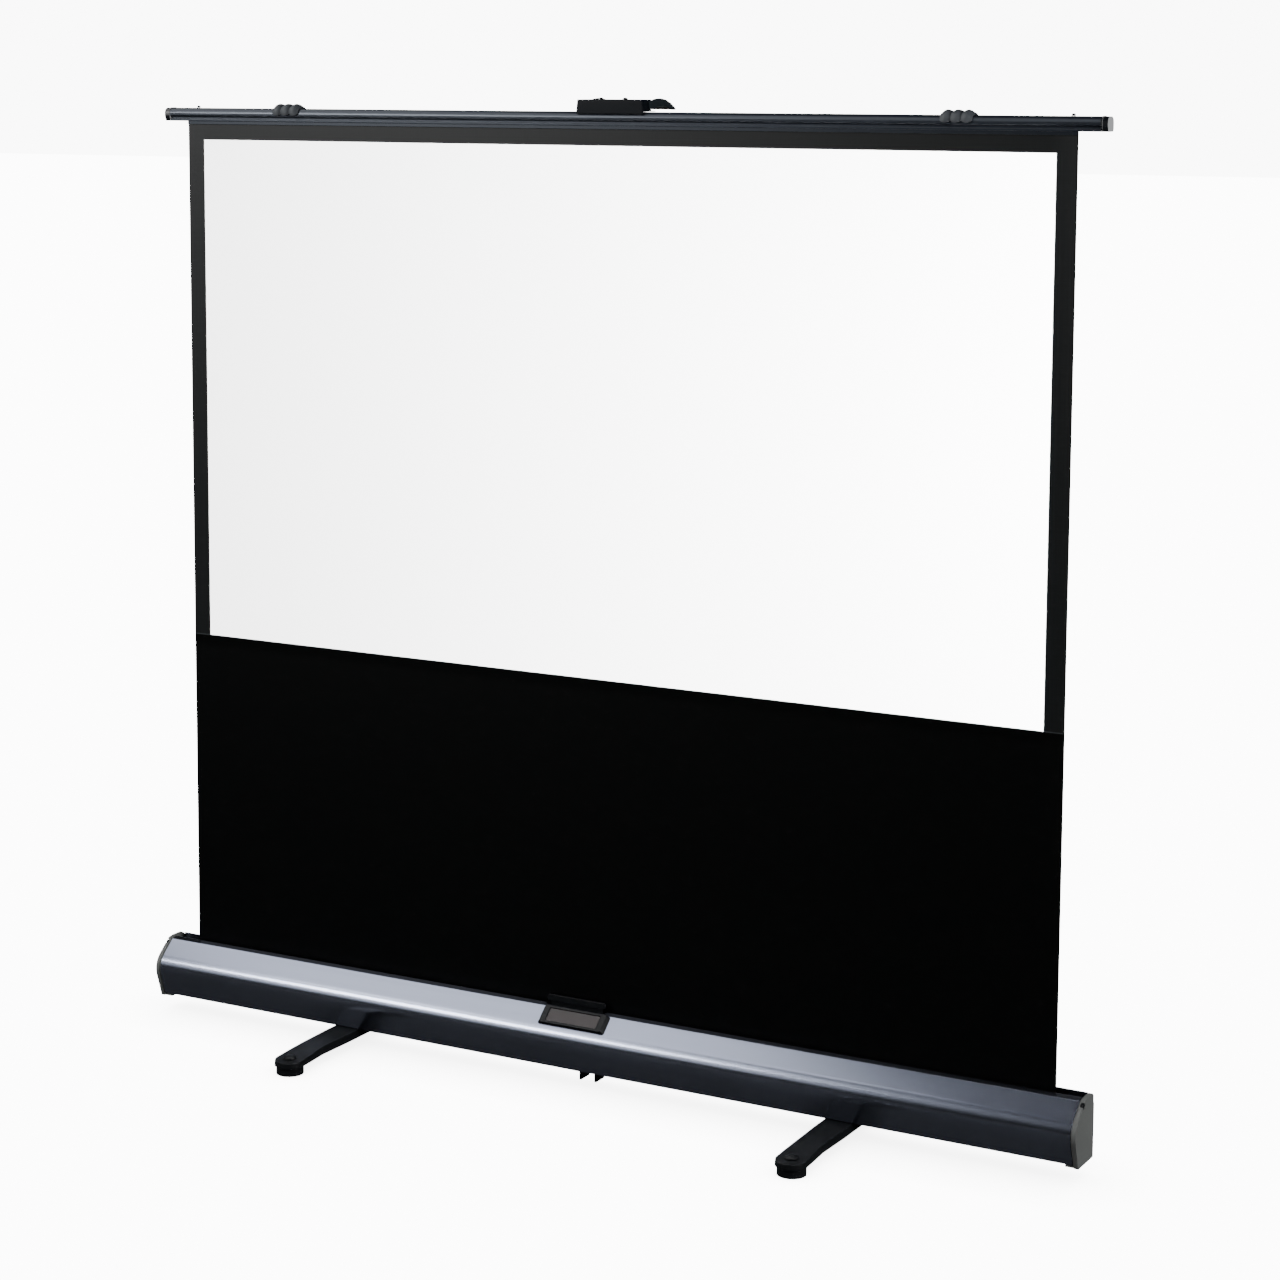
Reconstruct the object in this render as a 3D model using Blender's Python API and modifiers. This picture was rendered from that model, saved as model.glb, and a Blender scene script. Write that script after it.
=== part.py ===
"""Portable pull-up projection screen.

A floor case holds a spring roller and a folded scissor linkage. The linkage lifts the top bar,
which draws the fabric off the roller. X runs along the case, -Y faces the viewers, Z is up,
and the origin is on the floor under the middle of the case. Lengths are in metres.
"""

import math

import bmesh
import bpy
from mathutils import Matrix, Vector

# Fabric: a 16:9 picture with a black border and a long black drop
PICTURE_WIDTH = 1.550
PICTURE_HEIGHT = 0.872
PICTURE_BOTTOM = 0.686
SIDE_BORDER = 0.0335
FABRIC_Y = 0.019
FABRIC_THICK = 0.0006
PICTURE_COAT = 0.0004
FABRIC_BOTTOM = 0.084
FABRIC_HALF = PICTURE_WIDTH / 2 + SIDE_BORDER

# Floor case
CASE_HALF = 0.8530
CASE_WALL = 0.0022
CASE_BOTTOM = 0.0310
LIP_Y = 0.0100
LIP_TOP = 0.1280
SHOULDER = (-0.0020, 0.1262)
NOSE_CORNER = (-0.0456, 0.0889)
NOSE_RADIUS = 0.0325
TOE_Y = -0.0260
REAR_Y = 0.0390
RAIL_Y = 0.0365
RAIL_TOP = 0.1280
END_CAP_THICK = 0.0090
END_CAP_FOOT = 0.0050

# Scissor linkage: two stages of crossed arms behind the fabric
LINK = 0.800
STAGE_UP = 0.752
ARM_WIDTH = 0.0196
ARM_THICK = 0.0040
LAYER_A_Y = 0.0236
LAYER_B_Y = 0.0286
BASE_PIVOT_Z = 0.055
PIN_RADIUS = 0.0040
PIN_HEAD_RADIUS = 0.0065

# Top bar
BAR_HALF = 0.8440
BAR_BOTTOM = 1.5900
BAR_HEIGHT = 0.0225
BAR_FRONT = 0.0120
BAR_REAR = 0.0385
BAR_WALL = 0.0016
BAR_ROUND = 0.0090
BAR_CAP = 0.0110
SADDLE_X = {-1: -0.600, 1: 0.618}
SADDLE_LENGTH = 0.052
BAR_PIN_X = {-1: -0.7915, 1: 0.7975}

# Handle box and carry handle
BOX_X = 0.0275
BOX_WIDTH = 0.117
BOX_FRONT = 0.0095
BOX_REAR = 0.0560
BOX_SKIRT = 1.6088
BOX_BOTTOM = 1.6128
BOX_TOP = 1.6320
HANDLE_PIVOT = (0.0430, 1.6225)

# Latch in the sloping front of the case
LATCH_X = -0.018
BEZEL_WIDTH = 0.125
BEZEL_HEIGHT = 0.0355
BEZEL_Y = -0.0163
BEZEL_PROUD = 0.0068
PLATE_WIDTH = 0.094
PLATE_HEIGHT = 0.0236
PLATE_PROUD = 0.0054
HOOK_X = -0.0265
HOOK_LENGTH = 0.109
HOOK_TOP = 0.1426
LATCH_PIVOT = (0.0130, -0.0042)

# Roller
ROLLER_Y = -0.0022
ROLLER_Z = 0.0780
ROLLER_RADIUS = 0.0185
ROLLER_HALF = 0.8150

# Swing-out feet
FOOT_X = 0.465
FOOT_REACH = 0.197
FOOT_TIP_RADIUS = 0.0265
FOOT_CREASE = 0.131
PAD_RADIUS = 0.0235
PAD_HEIGHT = 0.0150

# Bracket under the middle of the case
FIN_X = -0.0020
FIN_GAP = 0.0282
FIN_BOTTOM = 0.0065
FIN_FRONT = 0.0020
FIN_REAR = 0.0330

GAP = 0.0003
MERGE = 0.00002

COLOURS = {
    "gunmetal": ((0.30, 0.31, 0.34, 1), 0.34, 0.85),
    "black_bar": ((0.035, 0.042, 0.052, 1), 0.38, 0.80),
    "cap_grey": ((0.14, 0.145, 0.15, 1), 0.50, 0.0),
    "dark_plastic": ((0.040, 0.046, 0.053, 1), 0.48, 0.0),
    "plate_brown": ((0.10, 0.088, 0.085, 1), 0.55, 0.0),
    "rubber": ((0.045, 0.050, 0.058, 1), 0.62, 0.0),
    "black_plastic": ((0.022, 0.024, 0.028, 1), 0.45, 0.0),
    "steel": ((0.55, 0.55, 0.56, 1), 0.30, 1.0),
    "chrome": ((0.80, 0.81, 0.82, 1), 0.12, 1.0),
    "aluminium": ((0.62, 0.63, 0.65, 1), 0.35, 1.0),
    "black_fabric": ((0.006, 0.006, 0.007, 1), 0.85, 0.0),
    "white_fabric": ((0.88, 0.88, 0.88, 1), 0.90, 0.0),
}


def clear_scene():
    for obj in list(bpy.data.objects):
        bpy.data.objects.remove(obj, do_unlink=True)


def new_collection(name):
    group = bpy.data.collections.new(name)
    bpy.context.scene.collection.children.link(group)
    return group


clear_scene()
PARTS = new_collection("projection_screen")
CUTTERS = new_collection("cutters")


def material(name):
    found = bpy.data.materials.get(name)
    if found:
        return found
    colour, roughness, metallic = COLOURS[name]
    made = bpy.data.materials.new(name)
    made.use_nodes = True
    shader = made.node_tree.nodes["Principled BSDF"]
    shader.inputs["Base Color"].default_value = colour
    shader.inputs["Roughness"].default_value = roughness
    shader.inputs["Metallic"].default_value = metallic
    made.diffuse_color = colour
    return made


def add_mesh(name, bm, finish, group=None, smooth=None):
    """Stores a bmesh as an object of the screen, with its faces pointing out."""
    bmesh.ops.recalc_face_normals(bm, faces=bm.faces)
    mesh = bpy.data.meshes.new(name)
    bm.to_mesh(mesh)
    bm.free()
    obj = bpy.data.objects.new(name, mesh)
    (group or PARTS).objects.link(obj)
    if finish:
        mesh.materials.append(material(finish))
    if smooth is not None:
        mesh.shade_smooth()
        mesh.set_sharp_from_angle(angle=math.radians(smooth))
    return obj


def arc(centre, radius, start, end, steps):
    """Points on an arc, with angles in degrees."""
    out = []
    for i in range(steps + 1):
        angle = math.radians(start + (end - start) * i / steps)
        out.append((centre[0] + radius * math.cos(angle), centre[1] + radius * math.sin(angle)))
    return out


def rounded(corners, steps=4):
    """An open path through (u, v, radius) corners, each with a fillet of that radius."""
    path = []
    last = len(corners) - 1
    for i, (u, v, radius) in enumerate(corners):
        corner = Vector((u, v))
        if i in (0, last) or radius == 0:
            path.append((u, v))
            continue
        back = (Vector(corners[i - 1][:2]) - corner).normalized()
        ahead = (Vector(corners[i + 1][:2]) - corner).normalized()
        half = math.acos(max(-1.0, min(1.0, back.dot(ahead)))) / 2
        centre = corner + (back + ahead).normalized() * (radius / math.sin(half))
        first = corner + back * (radius / math.tan(half)) - centre
        turn = first.angle_signed(corner + ahead * (radius / math.tan(half)) - centre)
        for k in range(steps + 1):
            point = centre + Matrix.Rotation(-turn * k / steps, 2) @ first
            path.append((point.x, point.y))
    return path


def closed_rounded(corners, steps=4):
    """A closed outline through (u, v, radius) corners."""
    wrapped = [corners[-1]] + list(corners) + [corners[0]]
    return rounded(wrapped, steps)[1:-1]


def skin(corners, thick, steps=4):
    """A closed outline of even thickness: the path through the corners, and it moved to its left."""
    moved = []
    for i, (u, v, radius) in enumerate(corners):
        here = Vector((u, v))
        before = here - Vector(corners[max(i - 1, 0)][:2])
        after = Vector(corners[min(i + 1, len(corners) - 1)][:2]) - here
        sides = []
        for run in (before, after):
            if run.length > 1e-9:
                run.normalize()
                sides.append(Vector((-run.y, run.x)))
        mean = sum(sides, Vector((0, 0))).normalized()
        place = here + mean * (thick / mean.dot(sides[0]))
        left_turn = before.x * after.y - before.y * after.x > 0
        inner = max(0.0, radius - thick) if left_turn else radius + thick * (radius > 0)
        moved.append((place.x, place.y, inner))
    return rounded(corners, steps) + list(reversed(rounded(moved, steps)))


TURNS = {
    "X": Matrix(((0, 0, 1), (1, 0, 0), (0, 1, 0))).to_4x4(),
    "Y": Matrix(((1, 0, 0), (0, 0, -1), (0, 1, 0))).to_4x4(),
    "Z": Matrix.Identity(4),
}


def extruded(name, outline, span, axis, finish, holes=(), smooth=None, group=None):
    """A flat outline, with holes, pushed along an axis from span[0] to span[1].

    The outline's own two coordinates are (y, z) along X, (x, z) along Y and (x, y) along Z.
    """
    curve = bpy.data.curves.new(name, "CURVE")
    curve.dimensions = "2D"
    curve.fill_mode = "BOTH"
    curve.extrude = (span[1] - span[0]) / 2
    for loop in (outline, *holes):
        spline = curve.splines.new("POLY")
        spline.points.add(len(loop) - 1)
        for point, (u, v) in zip(spline.points, loop):
            point.co = (u, v, 0, 1)
        spline.use_cyclic_u = True
    guide = bpy.data.objects.new(name + "_outline", curve)
    CUTTERS.objects.link(guide)
    depth = bpy.context.evaluated_depsgraph_get()
    mesh = bpy.data.meshes.new_from_object(guide.evaluated_get(depth))
    bpy.data.objects.remove(guide, do_unlink=True)
    bpy.data.curves.remove(curve)
    middle = (span[0] + span[1]) / 2
    shift = {"X": (middle, 0, 0), "Y": (0, middle, 0), "Z": (0, 0, middle)}[axis]
    bm = bmesh.new()
    bm.from_mesh(mesh)
    bpy.data.meshes.remove(mesh)
    bmesh.ops.remove_doubles(bm, verts=bm.verts, dist=MERGE)
    bm.transform(Matrix.Translation(shift) @ TURNS[axis])
    return add_mesh(name, bm, finish, group, smooth)


def turned(name, profile, place, axis, finish, steps=24, group=None):
    """A profile of (radius, height) points, top to bottom, spun round an axis through place."""
    mesh = bpy.data.meshes.new(name)
    points = [(radius, 0, height) for radius, height in profile]
    mesh.from_pydata(points, [(i, i + 1) for i in range(len(points) - 1)], [])
    obj = bpy.data.objects.new(name, mesh)
    (group or PARTS).objects.link(obj)
    spin = obj.modifiers.new("spin", "SCREW")
    spin.steps = steps
    spin.render_steps = steps
    spin.use_merge_vertices = True
    spin.merge_threshold = MERGE
    spin.use_smooth_shade = True
    fixed = mesh_of(obj)
    fixed.shade_smooth()
    fixed.set_sharp_from_angle(angle=math.radians(35))
    obj.modifiers.clear()
    obj.data = fixed
    obj.location = place
    obj.rotation_euler = {"X": (0, math.pi / 2, 0), "Y": (-math.pi / 2, 0, 0), "Z": (0, 0, 0)}[axis]
    if finish:
        obj.data.materials.clear()
        obj.data.materials.append(material(finish))
    return obj


def mesh_of(obj):
    """The object's mesh with its modifiers, welded and facing out."""
    bpy.context.view_layer.update()
    depth = bpy.context.evaluated_depsgraph_get()
    mesh = bpy.data.meshes.new_from_object(obj.evaluated_get(depth))
    bm = bmesh.new()
    bm.from_mesh(mesh)
    bmesh.ops.remove_doubles(bm, verts=bm.verts, dist=MERGE)
    bmesh.ops.recalc_face_normals(bm, faces=bm.faces)
    bm.to_mesh(mesh)
    bm.free()
    return mesh


def block(name, low, high, finish, bevel=0.0, segments=2, group=None):
    """A box between two corners, with rounded edges."""
    bm = bmesh.new()
    bmesh.ops.create_cube(bm, size=1)
    size = Vector(high) - Vector(low)
    middle = (Vector(high) + Vector(low)) / 2
    bmesh.ops.scale(bm, vec=size, verts=bm.verts)
    bmesh.ops.translate(bm, vec=middle, verts=bm.verts)
    if bevel:
        bmesh.ops.bevel(bm, geom=bm.edges, offset=bevel, segments=segments, affect="EDGES", profile=0.5)
    return add_mesh(name, bm, finish, group, 40 if bevel else None)


def tube(name, points, radius, finish, sides=12):
    """A round bar along a path, with filled ends."""
    curve = bpy.data.curves.new(name, "CURVE")
    curve.dimensions = "3D"
    curve.bevel_depth = radius
    curve.bevel_resolution = max(0, sides // 4 - 1)
    curve.use_fill_caps = True
    spline = curve.splines.new("POLY")
    spline.points.add(len(points) - 1)
    for point, place in zip(spline.points, points):
        point.co = (*place, 1)
    guide = bpy.data.objects.new(name + "_path", curve)
    CUTTERS.objects.link(guide)
    mesh = mesh_of(guide)
    bpy.data.objects.remove(guide, do_unlink=True)
    bpy.data.curves.remove(curve)
    mesh.shade_smooth()
    mesh.set_sharp_from_angle(angle=math.radians(40))
    mesh.materials.clear()
    mesh.materials.append(material(finish))
    obj = bpy.data.objects.new(name, mesh)
    PARTS.objects.link(obj)
    return obj


def cut(obj, cutter, operation="DIFFERENCE"):
    """Adds an exact Boolean and hides the other piece."""
    step = obj.modifiers.new(operation.lower(), "BOOLEAN")
    step.operation = operation
    step.solver = "EXACT"
    step.object = cutter
    if CUTTERS not in cutter.users_collection:
        PARTS.objects.unlink(cutter)
        CUTTERS.objects.link(cutter)
    cutter.hide_render = True
    cutter.display_type = "WIRE"
    return obj


def set_origin(obj, point):
    """Moves an object's origin to a joint's axis and leaves its shape in place."""
    bpy.context.view_layer.update()
    obj.data.transform(obj.matrix_world)
    obj.data.transform(Matrix.Translation(-Vector(point)))
    obj.matrix_world = Matrix.Translation(Vector(point))
    return obj


def lean():
    """Unit vector down the sloping front of the case, in the YZ plane."""
    return Vector((NOSE_CORNER[0] - SHOULDER[0], NOSE_CORNER[1] - SHOULDER[1])).normalized()


SLOPE = lean()
SLOPE_TILT = math.atan2(-SLOPE.y, -SLOPE.x)


def on_slope(up, proud):
    """The point (y, z) a distance up the slope from the latch's middle, and proud of the skin."""
    z = SHOULDER[1] + (BEZEL_Y - SHOULDER[0]) * SLOPE.y / SLOPE.x
    return BEZEL_Y - SLOPE.x * up + SLOPE.y * proud, z - SLOPE.y * up - SLOPE.x * proud


def case_corners():
    """Outer corners of the case section from the slot's front lip, round the nose, to the rear rail."""
    return [
        (LIP_Y, LIP_TOP - 0.0070, 0),
        (LIP_Y, LIP_TOP, 0.0010),
        (SHOULDER[0], SHOULDER[1], 0.0060),
        (NOSE_CORNER[0], NOSE_CORNER[1], NOSE_RADIUS),
        (TOE_Y, CASE_BOTTOM, 0.0025),
        (REAR_Y, CASE_BOTTOM, 0.0025),
        (REAR_Y, 0.1100, 0.0015),
        (RAIL_Y, 0.1145, 0.0015),
        (RAIL_Y, RAIL_TOP, 0),
    ]


def build_case():
    """The aluminium extrusion: a nosed box, open along the top, with a latch window in its slope."""
    section = skin(case_corners(), CASE_WALL, 8)
    case = extruded("case_extrusion", section, (-CASE_HALF, CASE_HALF), "X", "gunmetal", smooth=22)
    window = block("latch_window", (-0.0535, -0.0150, -0.008), (0.0535, 0.0158, 0.006), None, group=CUTTERS)
    cut(case, on_latch(window))
    half = HOOK_LENGTH / 2 + 0.0025
    notch = block("hook_notch", (HOOK_X - half, 0.0030, 0.1180), (HOOK_X + half, LIP_Y + 0.0010, 0.1400),
                  None, group=CUTTERS)
    return cut(case, notch)


def cap_outline(proud):
    """Closed outline of an end cap, with its foot below the extrusion."""
    foot = CASE_BOTTOM - END_CAP_FOOT + 0.0010 - proud
    toe = TOE_Y - proud + 0.0014
    return closed_rounded(
        [
            (LIP_Y, RAIL_TOP + proud * 1.2, 0.0040),
            (SHOULDER[0] - proud * 0.4, SHOULDER[1] + proud, 0.0080),
            (NOSE_CORNER[0] - proud * 1.1, NOSE_CORNER[1] + proud * 0.3, NOSE_RADIUS + proud),
            (toe, foot, 0.0020),
            (REAR_Y + proud, foot, 0.0020),
            (REAR_Y + proud, 0.1100 + proud, 0.0012),
            (RAIL_Y + proud, 0.1145 + proud, 0.0012),
            (RAIL_Y + proud, 0.1245, 0.0015),
            (RAIL_Y - 0.0040, RAIL_TOP + proud, 0.0020),
        ],
        steps=5,
    )


SCREW_YZ = (-0.0062, 0.1195)


def build_end_cap(side):
    """A moulded cap: a sunk neck against the extrusion, a proud face, a foot tongue and a screw recess."""
    name = "end_cap_right" if side > 0 else "end_cap_left"
    inner = side * (CASE_HALF + GAP)
    neck = side * (CASE_HALF + 0.0024)
    outer = side * (CASE_HALF + END_CAP_THICK)
    cap = extruded(name, cap_outline(0.0010), sorted((neck, outer)), "X", "cap_grey", smooth=30)
    soften(cap, 0.0011, 2)
    core = extruded(name + "_neck", cap_outline(-0.0007), sorted((inner, neck + side * 0.0015)), "X", None,
                    group=CUTTERS)
    cut(cap, core, "UNION")
    low = CASE_BOTTOM - END_CAP_FOOT + 0.0004
    root, reach = neck + side * 0.0021, side * (CASE_HALF - 0.0130)
    tongue = block(name + "_tongue", (min(root, reach), TOE_Y + 0.0030, low),
                   (max(root, reach), REAR_Y - 0.0015, CASE_BOTTOM - GAP), None, group=CUTTERS)
    cut(cap, tongue, "UNION")
    recess = turned(name + "_recess", [(0, 0.0050), (0.0052, 0.0050), (0.0052, -0.0050), (0, -0.0050)],
                    (outer, *SCREW_YZ), "X", None, steps=20, group=CUTTERS)
    return cut(cap, recess)


def build_end_cap_screw(side):
    """A socket screw seated in the cap's recess, with a six-sided socket."""
    name = "end_cap_screw_right" if side > 0 else "end_cap_screw_left"
    seat = side * (CASE_HALF + END_CAP_THICK - 0.0050 + GAP)
    head = seat + side * 0.0040
    screw = turned(name, [(0, 0.0020), (0.0034, 0.0020), (0.0040, 0.0014), (0.0040, -0.0020), (0, -0.0020)],
                   ((seat + head) / 2, *SCREW_YZ), "X", "black_plastic", steps=20)
    socket = turned(name + "_socket", [(0, 0.0016), (0.0023, 0.0016), (0.0023, -0.0016), (0, -0.0016)],
                    (head, *SCREW_YZ), "X", None, steps=6, group=CUTTERS)
    return cut(screw, socket)


def frame_outline(width, height, radius, steps=4):
    """A rounded rectangle about the origin."""
    w, h = width / 2, height / 2
    return closed_rounded([(-w, -h, radius), (w, -h, radius), (w, h, radius), (-w, h, radius)], steps)


def on_latch(obj):
    """Lays a piece made flat about the origin on the case's slope, at the latch."""
    obj.rotation_euler = (SLOPE_TILT, 0, 0)
    obj.location = (LATCH_X, *on_slope(0, 0))
    return obj


def latch_lug(name, x, top, thick=0.0030):
    """A lug below the skin with a bore for the latch pin, in the latch's flat coordinates."""
    up, depth = LATCH_PIVOT
    outline = [(up - 0.0026, top), (up - 0.0026, depth - 0.0010)]
    outline += arc((up, depth), 0.0026, 200, 340, 6)
    outline += [(up + 0.0020, top)]
    bore = [(up + u, depth + v) for u, v in arc((0, 0), 0.0015, 0, 330, 11)]
    return extruded(name, outline, (x - thick / 2, x + thick / 2), "X", None, holes=[bore], group=CUTTERS)


def taper(obj, low, high, across, along=1.0):
    """Narrows a flat piece toward its top: full size at the height low, scaled at the height high."""
    for vertex in obj.data.vertices:
        share = (vertex.co.z - low) / (high - low)
        vertex.co.x *= 1 + (across - 1) * share
        vertex.co.y *= 1 + (along - 1) * share
    return obj


def build_latch():
    """Bezel frame in the window, the press plate in it, and the hook bar that the plate rocks."""
    bezel = extruded("latch_bezel", frame_outline(BEZEL_WIDTH, BEZEL_HEIGHT, 0.0035),
                     (GAP, BEZEL_PROUD), "Z", "dark_plastic", smooth=35)
    taper(bezel, GAP, BEZEL_PROUD, 0.925, 0.93)
    soften(bezel, 0.0016, 2, 45)
    opening = extruded("bezel_opening", frame_outline(PLATE_WIDTH + 0.0016, PLATE_HEIGHT + 0.0016, 0.0018, 3),
                       (-0.010, 0.020), "Z", None, group=CUTTERS)
    cut(bezel, opening)
    for side in (-1, 1):
        cut(bezel, latch_lug("bezel_lug", side * 0.0505, 0.0020), "UNION")
    settle(bezel, 35)
    on_latch(bezel)
    plate = extruded("release_plate", frame_outline(PLATE_WIDTH, PLATE_HEIGHT, 0.0014, 3),
                     (-0.0012, PLATE_PROUD), "Z", "plate_brown", smooth=35)
    for side in (-1, 1):
        cut(plate, latch_lug("plate_lug", side * 0.0400, 0.0, 0.0040), "UNION")
    settle(plate, 35)
    on_latch(plate)
    up, depth = LATCH_PIVOT
    pin = turned("latch_pin", [(0, 0.0515), (0.0012, 0.0515), (0.0012, -0.0515), (0, -0.0515)],
                 (LATCH_X, *on_slope(up, depth)), "X", "steel", steps=12)
    coil = []
    for i in range(7 * 6 + 1):
        angle = 2 * math.pi * i / 6
        y, z = on_slope(up, depth)
        x = LATCH_X + 0.0200 - 0.0014 * i / 6
        coil.append((x, y + 0.0022 * math.cos(angle), z + 0.0022 * math.sin(angle)))
    tube("latch_spring", coil, 0.00045, "steel", sides=6)
    set_origin(plate, (0, *on_slope(up, depth)))
    build_hook()
    return pin


def soften(obj, width, segments, limit=60):
    """Adds a bevel to the sharp edges of a piece."""
    edge = obj.modifiers.new("edge", "BEVEL")
    edge.width = width
    edge.segments = segments
    edge.limit_method = "ANGLE"
    edge.angle_limit = math.radians(limit)


def settle(obj, smooth=None):
    """Turns an object's modifiers into its own mesh."""
    finish = obj.data.materials[0] if obj.data.materials else None
    obj.data = mesh_of(obj)
    obj.modifiers.clear()
    obj.data.materials.clear()
    if finish:
        obj.data.materials.append(finish)
    if smooth is not None:
        obj.data.shade_smooth()
        obj.data.set_sharp_from_angle(angle=math.radians(smooth))
    return obj


def build_hook():
    """The hook bar above the notch, a web under it, and two arms inside the case to the latch pin."""
    bar = frame_outline(HOOK_LENGTH, 0.0096, 0.0040)
    bar = [(HOOK_X + u, HOOK_TOP - 0.0048 + v) for u, v in bar]
    hook = extruded("latch_hook", bar, (0.0066, 0.0110), "Y", "dark_plastic", smooth=35)
    soften(hook, 0.0013, 1)
    y, z = on_slope(*LATCH_PIVOT)
    web = block("hook_web", (HOOK_X - HOOK_LENGTH / 2 + 0.006, 0.0092, z + 0.0010),
                (HOOK_X + HOOK_LENGTH / 2 - 0.006, 0.0107, HOOK_TOP - 0.0040), None, group=CUTTERS)
    cut(hook, web, "UNION")
    arm = [(y + u, z + v) for u, v in arc((0, 0), 0.0024, 90, 270, 8)]
    arm += [(0.0106, z - 0.0010), (0.0106, z + 0.0060), (0.0093, z + 0.0060), (0.0060, z + 0.0024)]
    bore = [(y + u, z + v) for u, v in arc((0, 0), 0.0015, 0, 330, 11)]
    for side in (-1, 1):
        centre = LATCH_X + side * 0.0330
        cut(hook, extruded("hook_arm", arm, (centre - 0.0020, centre + 0.0020), "X", None, holes=[bore],
                           group=CUTTERS), "UNION")
    settle(hook, 35)
    return set_origin(hook, (0, y, z))


def build_roller():
    """The fabric tube with its groove, the turns left on it, end plugs, pins and brackets."""
    bore = ROLLER_RADIUS - 0.0016
    tube_outline = arc((0, 0), ROLLER_RADIUS, 100, 440, 34)
    notch = [(0.0016, ROLLER_RADIUS - 0.0010), (-0.0016, ROLLER_RADIUS - 0.0010)]
    roller = extruded("roller_tube", tube_outline + notch, (-ROLLER_HALF, ROLLER_HALF), "X", "aluminium",
                      holes=[arc((0, 0), bore, 0, 360 - 15, 23)], smooth=30)
    roller.location = (0, ROLLER_Y, ROLLER_Z)
    wrap = extruded("fabric_turns", arc((0, 0), ROLLER_RADIUS + 0.0020, 0, 360 - 9, 39),
                    (-FABRIC_HALF, FABRIC_HALF), "X", "black_fabric",
                    holes=[arc((0, 0), ROLLER_RADIUS + GAP, 0, 360 - 15, 23)], smooth=30)
    wrap.location = (0, ROLLER_Y, ROLLER_Z)
    for side in (-1, 1):
        label = "right" if side > 0 else "left"
        end = side * ROLLER_HALF
        profile = [(0.0045, 0.0180), (bore - GAP, 0.0180), (bore - GAP, 0), (ROLLER_RADIUS + 0.0022, 0),
                   (ROLLER_RADIUS + 0.0022, -0.0030), (0.0090, -0.0030), (0.0090, -0.0060), (0.0045, -0.0060)]
        plug = turned("roller_plug_" + label, profile + profile[:1], (0, 0, 0), "X", "black_plastic",
                      steps=16)
        plug.location = (end + side * GAP, ROLLER_Y, ROLLER_Z)
        plug.rotation_euler = (0, -side * math.pi / 2, 0)
        build_roller_bracket(side, label)
    pin = turned("roller_pin", [(0, 0.0400), (0.0040, 0.0400), (0.0040, -0.0080), (0, -0.0080)],
                 (-(ROLLER_HALF + 0.0180), ROLLER_Y, ROLLER_Z), "X", "steel", steps=16)
    pin.name = "roller_pin"
    shaft = turned("spring_shaft", [(0, 0.0080), (0.0040, 0.0080), (0.0040, -0.2300), (0, -0.2300)],
                   (ROLLER_HALF + 0.0180, ROLLER_Y, ROLLER_Z), "X", "steel", steps=16)
    shaft.name = "spring_shaft"
    build_roller_spring()


def build_roller_bracket(side, label):
    """A cradle plate standing on the case floor that carries the roller's pin."""
    inner = side * (ROLLER_HALF + 0.0130)
    outer = side * (ROLLER_HALF + 0.0160)
    foot = CASE_BOTTOM + CASE_WALL + GAP
    plate = closed_rounded(
        [
            (-0.0170, foot, 0.001), (0.0160, foot, 0.001), (0.0160, ROLLER_Z - ROLLER_Z * 0.1, 0.010),
            (0.0100, ROLLER_Z + 0.0120, 0.006), (-0.0140, ROLLER_Z + 0.0120, 0.006),
            (-0.0170, ROLLER_Z - 0.012, 0.008),
        ]
    )
    hole = [(ROLLER_Y + u, ROLLER_Z + v) for u, v in arc((0, 0), PIN_RADIUS + GAP, 0, 360 - 22.5, 15)]
    bracket = extruded("roller_bracket_" + label, plate, sorted((inner, outer)), "X", "steel", holes=[hole],
                       smooth=30)
    tab = block("bracket_tab", (min(inner, inner + side * 0.0200), -0.0165, foot),
                (max(inner, inner + side * 0.0200), 0.0155, foot + 0.0025), None, group=CUTTERS)
    return cut(bracket, tab, "UNION")


def build_roller_spring():
    """The torsion spring round the fixed shaft that winds the fabric in."""
    turns, wire, radius, length = 9, 0.0011, 0.0085, 0.170
    per_turn = 8
    start = ROLLER_HALF - 0.0300
    points = []
    for i in range(turns * per_turn + 1):
        angle = 2 * math.pi * i / per_turn
        x = start - length * i / (turns * per_turn)
        points.append((x, ROLLER_Y + radius * math.cos(angle), ROLLER_Z + radius * math.sin(angle)))
    return tube("roller_spring", points, wire, "steel", sides=6)


def arm_outline(length):
    """A flat link with round ends, its first hole at the origin, its last one at (length, 0)."""
    half = ARM_WIDTH / 2
    return arc((0, 0), half, 90, 270, 10) + arc((length, 0), half, -90, 90, 10)


def build_arm(name, start, end, layer):
    """One scissor link between two pivots of the XZ plane, with three pin holes."""
    run = Vector(end) - Vector(start)
    holes = []
    for share in (0, 0.5, 1):
        centre = (run.length * share, 0)
        holes.append(arc(centre, PIN_RADIUS + GAP, 0, 360 - 22.5, 15))
    arm = extruded(name, arm_outline(run.length), (-ARM_THICK / 2, ARM_THICK / 2), "Y", "aluminium",
                   holes=holes, smooth=30)
    arm.location = (start[0], layer, start[1])
    arm.rotation_euler = (0, -math.atan2(run.y, run.x), 0)
    return arm


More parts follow.
